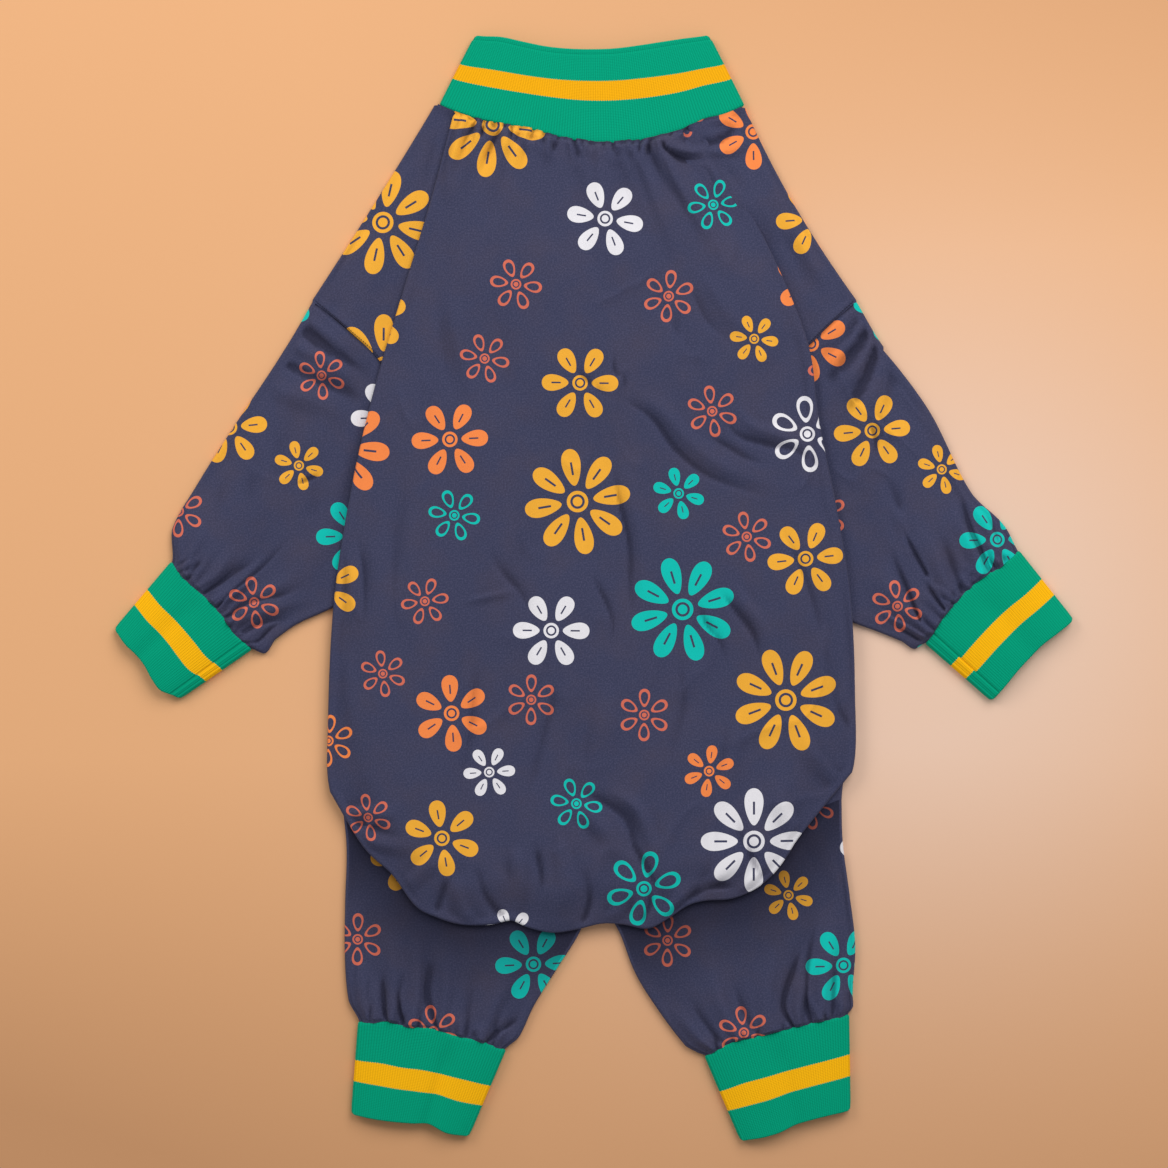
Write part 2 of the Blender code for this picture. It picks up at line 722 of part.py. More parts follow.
def cuff(name):
    """A rib cuff on the end of a leg."""
    leg_name = name.replace("cuff", "leg")
    values = LEGS[leg_name]
    sign = SIDES[values["side"]]["sign"]
    start, _, _ = cuff_seam(leg_name, body_seam(leg_name))
    outward = heading(values["square"] + sign * 90)
    forward = heading(values["axis"])
    rows = []
    for i in range(CUFF_STEPS + 1):
        share = i / CUFF_STEPS
        middle = start + forward * lerp(SEAM_GAP, values["cuff"], share)
        half = lerp(values["wrist"], values["mouth"], share) / 2 - RIB_BEND
        ring = [
            middle + outward * half * (1 - 2 * k / CUFF_ACROSS_STEPS)
            for k in range(CUFF_ACROSS_STEPS + 1)
        ]
        rows.append(flat_ring(ring, RIB_BEND, RIB / 2, rib_rise(CUFF_CROWN, CUFF_ACROSS_STEPS)))
    return wall(name, rows, RIB, "green_rib", closed=True)


def rib_rise(crown, count):
    """A rib tube's top is level over most of its width and falls off at its edges."""
    return lambda k: crown * (1 - (2 * k / count - 1) ** 4)


# Collar

def collar():
    """A rib collar, bowed along the neck seam and dipped at its mouth."""
    rows = []
    for i in range(COLLAR_STEPS + 1):
        share = i / COLLAR_STEPS
        half = lerp(NECK_WIDTH, COLLAR_MOUTH, share) / 2 - RIB_BEND
        corner_y = NECK_Y + NECK_SAG + COLLAR_RISE * share
        dip = lerp(NECK_SAG, COLLAR_DIP, share)
        ring = []
        for k in range(COLLAR_ACROSS_STEPS + 1):
            across = 2 * k / COLLAR_ACROSS_STEPS - 1
            y = corner_y - dip * (1 - across ** 2) + SEAM_GAP / 2
            ring.append(Vector((across * half, y)))
        crown = lerp(NECK_CROWN, COLLAR_CROWN, share)
        rows.append(flat_ring(ring, RIB_BEND, RIB / 2, rib_rise(crown, COLLAR_ACROSS_STEPS)))
    return wall("collar", rows, RIB, "green_rib", closed=True)


for old in list(bpy.data.objects):
    bpy.data.objects.remove(old)
collection = bpy.data.collections.new("dog_jumpsuit")
bpy.context.scene.collection.children.link(collection)

collar()
back_panel()
belly_panel()
for place, leg_steps in (("front", FRONT_LEG_STEPS), ("hind", HIND_LEG_STEPS)):
    for hand in SIDES:
        leg(f"{place}_leg_{hand}", leg_steps)
        cuff(f"{place}_cuff_{hand}")
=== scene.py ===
"""Dog jumpsuit lying flat, back up, on a pale peach surface, seen from above.

Each cloth piece is laid out over the same outline as its solid, with its folds, gathers
and edges worked out as heights over that plan. Metres, +Y towards the collar.
"""

import math

import bpy
import numpy as np
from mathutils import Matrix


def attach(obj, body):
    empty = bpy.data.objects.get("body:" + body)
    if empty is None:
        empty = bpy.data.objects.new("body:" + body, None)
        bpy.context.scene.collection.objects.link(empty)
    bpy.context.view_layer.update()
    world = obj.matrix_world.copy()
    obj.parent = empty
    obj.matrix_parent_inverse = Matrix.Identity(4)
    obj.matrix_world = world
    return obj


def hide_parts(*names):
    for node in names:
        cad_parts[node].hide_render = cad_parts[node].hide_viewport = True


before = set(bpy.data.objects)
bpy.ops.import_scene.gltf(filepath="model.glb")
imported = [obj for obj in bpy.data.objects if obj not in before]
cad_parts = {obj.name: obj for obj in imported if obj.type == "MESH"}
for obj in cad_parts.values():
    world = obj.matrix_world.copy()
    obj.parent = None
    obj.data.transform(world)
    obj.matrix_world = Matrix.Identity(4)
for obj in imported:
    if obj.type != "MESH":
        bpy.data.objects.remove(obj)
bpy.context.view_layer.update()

# The photograph's scale, and the pixel that lies over the origin
METRES_PER_PIXEL = 0.0007
ORIGIN_PIXEL = (592.0, 587.5)
IMAGE_PIXELS = 1168

# Sizes of the solids
RIB = 0.0020
EDGE_BEND = 0.0023
RIB_BEND = 0.0024
SEAM_GAP = 0.0005
BACK_WIDTH = 0.370
BACK_LENGTH = 0.550
BACK_CROWN = 0.0062
TUCK_DEPTH = 0.042
NECK_Y = 0.310
NECK_WIDTH = 0.213
NECK_SAG = 0.027
COLLAR_MOUTH = 0.164
COLLAR_RISE = 0.049
COLLAR_DIP = 0.010
COLLAR_CROWN = 0.0034
NECK_CROWN = 0.0052
SHOULDER_Y = 0.200
UNDERLAP = 0.0010
CROTCH_Y = -0.217
LIMB_CROWN = 0.0042
CROWN_RUN = 0.030
CROWN_START = 0.003
CUFF_CROWN = 0.0034

# Heights of the thin layers, from the ground up
GROUND = 0.0005
LOWER_TOP = 0.0052
TUCK_LEVEL = 0.0059
BACK_LEVEL = 0.0100
FOLD_BEND = (BACK_LEVEL - TUCK_LEVEL) / 2

SIDES = {
    "left": {"sign": -1, "spread": 0.004, "dip": 0.001, "shoulder": 0.195,
             "underarm": 0.173, "underarm_y": -0.009, "hip": 0.173, "hip_y": -0.153},
    "right": {"sign": 1, "spread": 0.001, "dip": 0.005, "shoulder": 0.1845,
              "underarm": 0.172, "underarm_y": -0.017, "hip": 0.173, "hip_y": -0.149},
}

LEGS = {
    "front_leg_left": {"side": "left", "reach": 0.137, "heading": 232.3, "square": 222.5,
                       "wrist": 0.082, "cuff": 0.0605, "axis": 222.2, "mouth": 0.066},
    "front_leg_right": {"side": "right", "reach": 0.1325, "heading": -47.8, "square": -45.3,
                        "wrist": 0.091, "cuff": 0.0605, "axis": -46.4, "mouth": 0.080},
    "hind_leg_left": {"side": "left", "reach": 0.132, "heading": -100.6, "square": -100.8,
                      "wrist": 0.104, "cuff": 0.064, "axis": -103.8, "mouth": 0.083},
    "hind_leg_right": {"side": "right", "reach": 0.138, "heading": -72.4, "square": -74.0,
                       "wrist": 0.104, "cuff": 0.064, "axis": -78.2, "mouth": 0.079},
}

# along, outer, inner: shares of the edge and of the leg's reach
LEG_EDGES = {
    "front_leg_left": [
        (0.00, 0.000, 0.000), (0.20, 0.012, -0.004), (0.50, 0.052, -0.010),
        (0.75, 0.078, 0.012), (0.90, 0.080, 0.052), (1.00, 0.000, 0.000),
    ],
    "front_leg_right": [
        (0.00, 0.000, 0.000), (0.15, -0.010, 0.018), (0.45, 0.010, 0.022),
        (0.75, -0.038, 0.032), (0.90, 0.012, 0.050), (1.00, 0.000, 0.000),
    ],
    "hind_leg_left": [
        (0.00, 0.000, 0.000), (0.20, -0.004, 0.040), (0.45, 0.026, 0.031),
        (0.70, 0.050, 0.021), (0.90, 0.048, 0.033), (1.00, 0.000, 0.000),
    ],
    "hind_leg_right": [
        (0.00, 0.000, 0.000), (0.20, 0.000, -0.008), (0.45, 0.027, 0.050),
        (0.68, 0.048, 0.063), (0.90, 0.028, 0.055), (0.965, 0.027, 0.024),
        (1.00, 0.000, 0.000),
    ],
}

# The leg and edge (1 outer, 2 inner) with a nick, where along it, and how deep
SLEEVE_NICK = ("front_leg_right", 1, 0.185, 0.0016)

# How far each cuff's seam is drawn towards the body, in millimetres, at even steps from
# its inner end to its outer one
SEAM_BOWS = {
    "front_leg_left": (0.0, -1.2, 0.8, 1.2, 0.6, -1.0, 0.0),
    "front_leg_right": (0.0, 3.4, 5.3, 5.8, 4.5, 1.0, 0.0),
    "hind_leg_left": (0.0, 2.9, 3.2, 5.6, 3.4, 4.0, 0.0),
    "hind_leg_right": (0.0, 4.1, 3.6, 2.6, 2.2, 1.0, 0.0),
}

# along, inward: shares of the straight line from the shoulder to the underarm
ARMHOLE = [
    (0.000, 0.000), (0.114, 0.110), (0.242, 0.208), (0.439, 0.218),
    (0.665, 0.150), (0.867, 0.060), (1.000, 0.000),
]

# across, down, tuck: shares of half BACK_WIDTH, BACK_LENGTH and TUCK_DEPTH
BACK_FOLD = [
    (-0.523, -0.042, 0.25), (-0.610, 0.069, 0.50), (-0.720, 0.191, 0.80),
    (-0.822, 0.307, 1.00), (-0.909, 0.433, 1.00), (-0.977, 0.579, 1.00),
    (-1.000, 0.733, 0.80), (-0.992, 0.824, 0.70), (-0.894, 0.883, 0.70),
    (-0.682, 0.964, 1.00), (-0.439, 0.994, 1.00), (-0.167, 1.002, 1.00),
    (0.030, 0.994, 1.00), (0.220, 0.997, 1.00), (0.409, 0.966, 1.00),
    (0.621, 0.948, 1.00), (0.852, 0.856, 0.70), (0.985, 0.799, 0.70),
    (0.996, 0.695, 0.80), (0.980, 0.579, 1.00), (0.932, 0.472, 1.00),
    (0.860, 0.351, 1.00), (0.815, 0.249, 0.90), (0.663, 0.126, 0.60),
    (0.520, 0.044, 0.40), (0.400, -0.024, 0.25),
]
LEFT_FOLD_END = 7
RIGHT_FOLD_END = 17

# The back panel's hem from left to right, as x,y pixels of the photograph
HEM_LINE = (
    "363,847 392,875 415,906 437,918 462,925 491,925 511,921 528,928 552,933 576,930 602,924"
    " 624,925 648,929 668,919 688,906 706,901 732,899 756,889 774,874 787,857 802,834"
)


# Arithmetic on arrays

def smooth(t):
    t = np.clip(t, 0.0, 1.0)
    return t * t * (3 - 2 * t)


def lerp(a, b, t):
    return a + (b - a) * t


def unit(vectors):
    return vectors / np.maximum(np.linalg.norm(vectors, axis=-1, keepdims=True), 1e-12)


def heading(degrees):
    return np.array([math.cos(math.radians(degrees)), math.sin(math.radians(degrees))])


def sideways(way):
    return np.array([way[0], way[1], 0.0])


def raised(plan, height):
    """Points of a plan with their heights."""
    height = np.broadcast_to(np.expand_dims(height, -1), plan.shape[:-1] + (1,))
    return np.concatenate([plan, height], -1)


def at_pixel(x, y):
    """The spot under a pixel of the photograph."""
    across, down = ORIGIN_PIXEL
    return np.array([(x - across) * METRES_PER_PIXEL, (down - y) * METRES_PER_PIXEL])


def spots_of(pixels):
    """The spots under pixels of the photograph that are written as x,y x,y and so on."""
    return [at_pixel(*map(float, pixel.split(","))) for pixel in pixels.split()]


def curve(points, position):
    """Points on a smooth curve through points, at row numbers that needn't be whole."""
    points = np.asarray(points, float)
    position = np.asarray(position, float)
    last = len(points) - 1
    index = np.clip(position.astype(int), 0, last - 1)
    t = position - index
    if points.ndim > 1:
        t = t[..., None]
    before = points[np.maximum(index - 1, 0)]
    start = points[index]
    end = points[index + 1]
    after = points[np.minimum(index + 2, last)]
    return 0.5 * (
        2 * start
        + (end - before) * t
        + (2 * before - 5 * start + 4 * end - after) * t ** 2
        + (3 * start - before - 3 * end + after) * t ** 3
    )


def evenly(line, count):
    """count + 1 points at even distances along a line."""
    steps = np.linalg.norm(np.diff(line, axis=0), axis=1)
    far = np.concatenate([[0.0], np.cumsum(steps)])
    want = np.linspace(0, far[-1], count + 1)
    return np.stack([np.interp(want, far, line[:, i]) for i in range(line.shape[1])], 1)


def distance(points, line):
    """How far each point is from a line of straight stretches, in plan."""
    flat = points.reshape(-1, 2)
    start = line[:-1]
    along = line[1:] - start
    length = np.maximum((along ** 2).sum(1), 1e-18)
    found = np.empty(len(flat))
    for low in range(0, len(flat), 4000):
        away = flat[low:low + 4000, None, :] - start[None]
        share = np.clip((away * along).sum(2) / length, 0, 1)
        gap = away - share[..., None] * along
        found[low:low + 4000] = np.sqrt((gap ** 2).sum(2).min(1))
    return found.reshape(points.shape[:-1])


def inside(points, loop):
    """Whether each point is inside a closed line, in plan."""
    flat = points.reshape(-1, 2)
    start = loop
    end = np.roll(loop, -1, axis=0)
    found = np.zeros(len(flat), bool)
    for low in range(0, len(flat), 4000):
        part = flat[low:low + 4000]
        y = part[:, 1:2]
        crosses = (start[:, 1] > y) != (end[:, 1] > y)
        slope = (end[:, 0] - start[:, 0]) / (end[:, 1] - start[:, 1] + 1e-18)
        at = start[:, 0] + (y - start[:, 1]) * slope
        found[low:low + 4000] = (crosses & (at > part[:, 0:1])).sum(1) % 2 == 1
    return found.reshape(points.shape[:-1])


def noise(x, y, size, seed):
    """Smooth unevenness from -1 to 1, in patches of that size."""
    x = x / size + 17.3 * seed
    y = y / size - 9.1 * seed
    column = np.floor(x).astype(np.int64)
    row = np.floor(y).astype(np.int64)

    def corner(a, b):
        mixed = (a * 374761393 + b * 668265263 + seed * 974711) & 0xFFFFFFFF
        mixed = ((mixed ^ (mixed >> 13)) * 1274126177) & 0xFFFFFFFF
        return ((mixed ^ (mixed >> 16)) & 0xFFFF) / 32767.5 - 1

    right = smooth(x - column)
    up = smooth(y - row)
    low = lerp(corner(column, row), corner(column + 1, row), right)
    high = lerp(corner(column, row + 1), corner(column + 1, row + 1), right)
    return lerp(low, high, up)


# Folds of the cloth

# How much the heights and depths in the tables below are raised
RIDGE_GAIN = 1.5
VALLEY_GAIN = 1.15
# How far below its surroundings a point of the cloth must lie to get the darkest painted shade
PAINTED_SHADE_DEPTH = 0.0010
# How deep a fold may be on a seam and away from it, and how far from it that is
SEAM_FOLD = -0.0014
OPEN_FOLD = -0.0060
SEAM_REACH = 0.005


def fold_line(spots):
    return curve(spots, np.linspace(0, len(spots) - 1, 8 * (len(spots) - 1) + 1))


def fold(pixels, wide, to_wide, high, lean=0.0, free=False):
    """A fold along a smooth line through pixels of the photograph: the line, its half
    width at the start and at the end, its height, how much wider one flank is than the
    other, and whether it fades out at both ends or only at its last. Widths and heights
    are given in millimetres, and a hollow has a height below 0."""
    gain = RIDGE_GAIN if high > 0 else VALLEY_GAIN
    line = fold_line(spots_of(pixels))
    return line, wide / 1e3, to_wide / 1e3, high / 1e3 * gain, lean, free


def gathers(line, way, pitch, run, high, seed):
    """Small folds that start along a seam and run from it, roughly one for each pitch."""
    choose = np.random.default_rng(seed)
    length = np.linalg.norm(np.diff(line, axis=0), axis=1).sum()
    count = max(2, int(round(length / pitch)))
    spots = evenly(line, count * 10)
    course = math.degrees(math.atan2(way[1], way[0]))
    rows = []
    for i in range(count):
        spot = spots[int((i + 0.5 + choose.uniform(-0.35, 0.35)) * 10)]
        way = heading(course + choose.normal(0, 9))
        across = np.array([-way[1], way[0]])
        reach = run * choose.uniform(0.45, 1.35)
        up = high * choose.uniform(0.5, 1.3)
        wide = pitch * choose.uniform(0.20, 0.30)
        bow = across * choose.uniform(-0.002, 0.002)
        ridge = fold_line([spot - way * 0.001, spot + way * reach / 2 + bow, spot + way * reach])
        rows.append((ridge, wide, wide * 2.2, up, 0.2, False))
        valley = ridge[: len(ridge) * 2 // 3] + across * pitch * 0.5
        rows.append((valley, wide * 0.65, wide * 1.4, -up * 1.1, 0.0, False))
    return rows


def fold_heights(points, rows):
    """The height that a list of folds adds at each point."""
    flat = points.reshape(-1, 2)
    total = np.zeros(len(flat))
    for path, wide, to_wide, high, lean, free in rows:
        reach = 3 * max(wide, to_wide) * (1 + abs(lean))
        low = path.min(0) - reach
        top = path.max(0) + reach
        near = ((flat > low) & (flat < top)).all(1).nonzero()[0]
        if len(near) == 0:
            continue
        along = path[1:] - path[:-1]
        length = np.linalg.norm(along, axis=1)
        far = np.concatenate([[0.0], np.cumsum(length)])
        away = flat[near][:, None] - path[:-1]
        share = np.clip((away * along).sum(2) / length ** 2, 0, 1)
        gap = away - share[..., None] * along
        square = (gap ** 2).sum(2)
        best = square.argmin(1)
        row = np.arange(len(near))
        turn = along[best, 0] * away[row, best, 1] - along[best, 1] * away[row, best, 0]
        held = (far[best] + share[row, best] * length[best]) / far[-1]
        width = lerp(wide, to_wide, held) * (1 + lean * np.sign(turn))
        ends = smooth((1 - held) / 0.6)
        if free:
            ends = ends * smooth(held / 0.35)
        total[near] += high * ends * np.exp(-square[row, best] / width ** 2)
    return total.reshape(points.shape[:-1])


def above_seam(detail, away):
    """Folds whose hollows grow shallow towards a seam."""
    return np.maximum(detail, lerp(SEAM_FOLD, OPEN_FOLD, smooth(away / SEAM_REACH)))


def eased(heights, lowest, highest):
    """Heights eased towards a lowest and a highest value."""
    bound = np.where(heights < 0, lowest, highest)
    return bound * np.tanh(heights / bound)


def hollows(heights, rounds):
    """How far each point of a grid of heights lies in a narrow hollow, from 0 to 1: how much
    shade is painted into the cloth's colour there.
    """
    soft = heights
    for _ in range(rounds):
        wide = np.pad(soft, 1, mode="edge")
        soft = (wide[:-2, 1:-1] + wide[2:, 1:-1] + wide[1:-1, :-2] + wide[1:-1, 2:]) / 4
    return smooth((soft - heights) / PAINTED_SHADE_DEPTH)


# The folds that the photograph shows, on the back panel and on each lower layer
BACK_FOLDS = [
    fold("462,112 452,150 436,205", 3.5, 8, 2.4, 0.3),
    fold("470,117 462,150 448,190", 1.8, 4, -2.2),
    fold("484,122 474,158 462,198", 2.8, 6, 2.2, 0.3),
    fold("496,127 490,150 474,186", 1.6, 4, -2.2),
    fold("508,130 500,160 488,215", 2.8, 6, 1.5),
    fold("476,121 470,132 463,146", 1.3, 2.4, -2.8, 0.2),
    fold("485,123 478,142 471,166", 1.3, 3, -2.4, 0.3),
    fold("501,127 494,141 482,164", 1.4, 3, -2.4, 0.3),
    fold("528,135 520,170 512,200", 1.8, 5, -1.4),
    fold("574,143 580,200 578,260", 2.6, 8, -1.6),
    fold("600,144 602,210 606,300", 4.0, 10, 1.6, 0.2),
    fold("614,143 630,200 652,262", 2.0, 7, -1.7),
    fold("630,141 652,190 690,290", 3.4, 9, 1.9, 0.3),
    fold("644,140 662,178 690,220", 1.8, 5, -2.4),
    fold("656,138 678,184 722,262", 3.0, 8, 2.4, 0.4),
    fold("663,149 676,159 700,172 724,200", 2.2, 5, -2.8, 0.0, True),
    fold("659,143 667,152 680,160 696,162 714,158", 1.7, 2.6, -3.4, 0.3),
    fold("662,138 674,147 690,152 712,151", 2.5, 3.4, 3.6, 0.3),
    fold("683,131 690,139 700,142 724,138", 1.9, 2.6, -4.6, 0.3),
    fold("670,144 682,129 697,121 722,118", 3.2, 4, 3.6, 0.2),
    fold("704,150 722,178 752,222", 3.0, 7, 1.6, -0.3, True),
    fold("690,168 716,204 742,258", 3.0, 7, -1.5, 0.0, True),
    fold("438,290 445,354 468,433", 4, 6, -1.6, 0.2, True),
    fold("450,280 460,350 486,430", 6, 9, 1.3, 0.2, True),
    fold("500,240 498,340 512,440", 6, 9, -1.1, 0.0, True),
    fold("573,364 588,382 619,403", 2.2, 3.5, -1.6, 0.3, True),
    fold("614,350 615,372 624,380 623,400", 1.7, 2.0, -1.3, 0.3, True),
    fold("611,394 649,416 675,450 705,474 740,488 790,504", 2.4, 3.4, -2.3, 0.4, True),
    fold("622,388 658,408 688,440 718,464 752,478 796,492", 5, 6, 1.8, 0.2, True),
    fold("704,433 731,449 749,459 776,468", 2.2, 2.6, -1.8, 0.3, True),
    fold("722,408 736,434 769,446 796,451 832,476", 2.2, 2.8, -2.1, 0.4, True),
    fold("732,398 748,424 780,436 812,446 838,466", 4, 5, 1.7, 0.2, True),
    fold("685,276 698,303 712,326 744,352", 3.0, 4.5, -1.8, 0.3, True),
    fold("700,268 716,296 734,322 766,352", 5, 7, 1.5, 0.2, True),
    fold("652,262 660,300 690,352 708,400", 4, 6, -1.3, 0.2, True),
    fold("612,452 619,500 629,545 631,600 641,650", 2.4, 3.6, -1.8, 0.4, True),
    fold("624,452 632,500 642,545 645,600 654,650", 5, 6, 1.4, 0.2, True),
    fold("588,568 598,586 612,620 610,660", 2.2, 3.0, -1.4, 0.3, True),
    fold("716,586 736,612 754,638 764,680", 2.0, 3.2, -2.0, 0.4, True),
    fold("726,578 746,606 764,632 776,672", 4, 6, 1.6, 0.2, True),
    fold("698,598 705,622 722,646 728,680", 2.0, 3.2, -1.6, 0.3, True),
    fold("484,540 502,570 526,600 540,650", 3.0, 4.0, -1.5, 0.3, True),
    fold("458,604 489,596 529,589", 2.2, 2.2, 1.2, 0.0, True),
    fold("356,534 364,566 366,602 364,640", 2.6, 4.0, -2.2, 0.4, True),
    fold("345,540 352,580 352,620 350,660", 4, 5, 1.6, 0.2, True),
    fold("404,470 396,540 398,620 404,700", 5, 7, -1.3, 0.2, True),
    fold("420,470 412,540 414,620 420,690", 6, 8, 1.2, 0.2, True),
    fold("778,520 806,580 826,650 836,700", 3.0, 5.0, -1.8, 0.3, True),
    fold("792,510 820,570 840,640 846,690", 4, 5, 1.5, 0.2, True),
    fold("676,650 684,700 672,760 676,800", 4, 6, -1.5, 0.3, True),
    fold("560,660 548,720 530,790 524,830", 4, 6, -1.5, 0.3, True),
    fold("478,650 472,720 462,780 466,820", 4, 6, -1.3, 0.3, True),
    fold("738,700 732,750 722,800 726,840", 4, 6, 1.5, 0.2, True),
    fold("352,640 350,700 362,790", 4, 8, 1.4, 0.3, True),
    fold("610,680 600,740 586,800", 6, 8, 1.3, 0.2, True),
    fold("340,818 366,812 404,818", 2.2, 5, 1.8, 0.3),
    fold("342,826 370,826 410,840", 2.0, 5, -1.6),
    fold("352,838 392,846 430,846", 2.6, 6, 1.5, 0.2),
    fold("572,786 604,802 626,820 635,846 648,880", 3.0, 4, -2.8, 0.4, True),
    fold("566,800 594,820 612,840 622,868", 5, 6, 2.0, 0.2, True),
    fold("606,788 636,808 650,840 664,880", 4, 5, 2.2, 0.3, True),
    fold("630,838 652,878 668,908", 2.6, 3, -2.6, 0.2, True),
    fold("534,838 542,880 533,908", 3.4, 3, -2.0, 0.0, True),
    fold("514,840 520,880 512,912", 4.4, 4, 1.7, 0.0, True),
    fold("560,850 566,880 560,924", 5, 6, 2.0, 0.2),
    fold("582,926 590,896 584,860", 2.4, 5, -1.9),
    fold("506,920 486,894 474,852", 2.4, 5, -2.1, 0.2),
    fold("470,922 456,890 448,850", 4, 7, 1.6),
    fold("436,914 446,884 470,860", 2.6, 6, -1.5),
    fold("404,888 428,866 466,850", 3.4, 7, 1.5),
    fold("612,922 626,890 620,856", 4, 6, 1.5, 0.2),
    fold("640,926 650,900 644,868", 2.4, 4, -1.6),
    fold("668,918 686,892 706,872", 3.0, 6, 2.2, 0.4),
    fold("690,903 712,887 742,889", 2.6, 3, -3.0, 0.3),
    fold("700,898 716,878 748,858", 3.0, 7, 2.0, 0.2),
    fold("742,894 764,862 770,820", 3.4, 7, 1.5),
    fold("764,880 742,836 736,800", 2.6, 6, -1.5),
    fold("800,838 780,800 776,760", 3.4, 8, 1.4),
    fold("846,786 812,750 800,700", 3.0, 8, 1.5, 0.2),
    fold("854,730 836,700 832,650", 2.6, 7, -1.4),
]
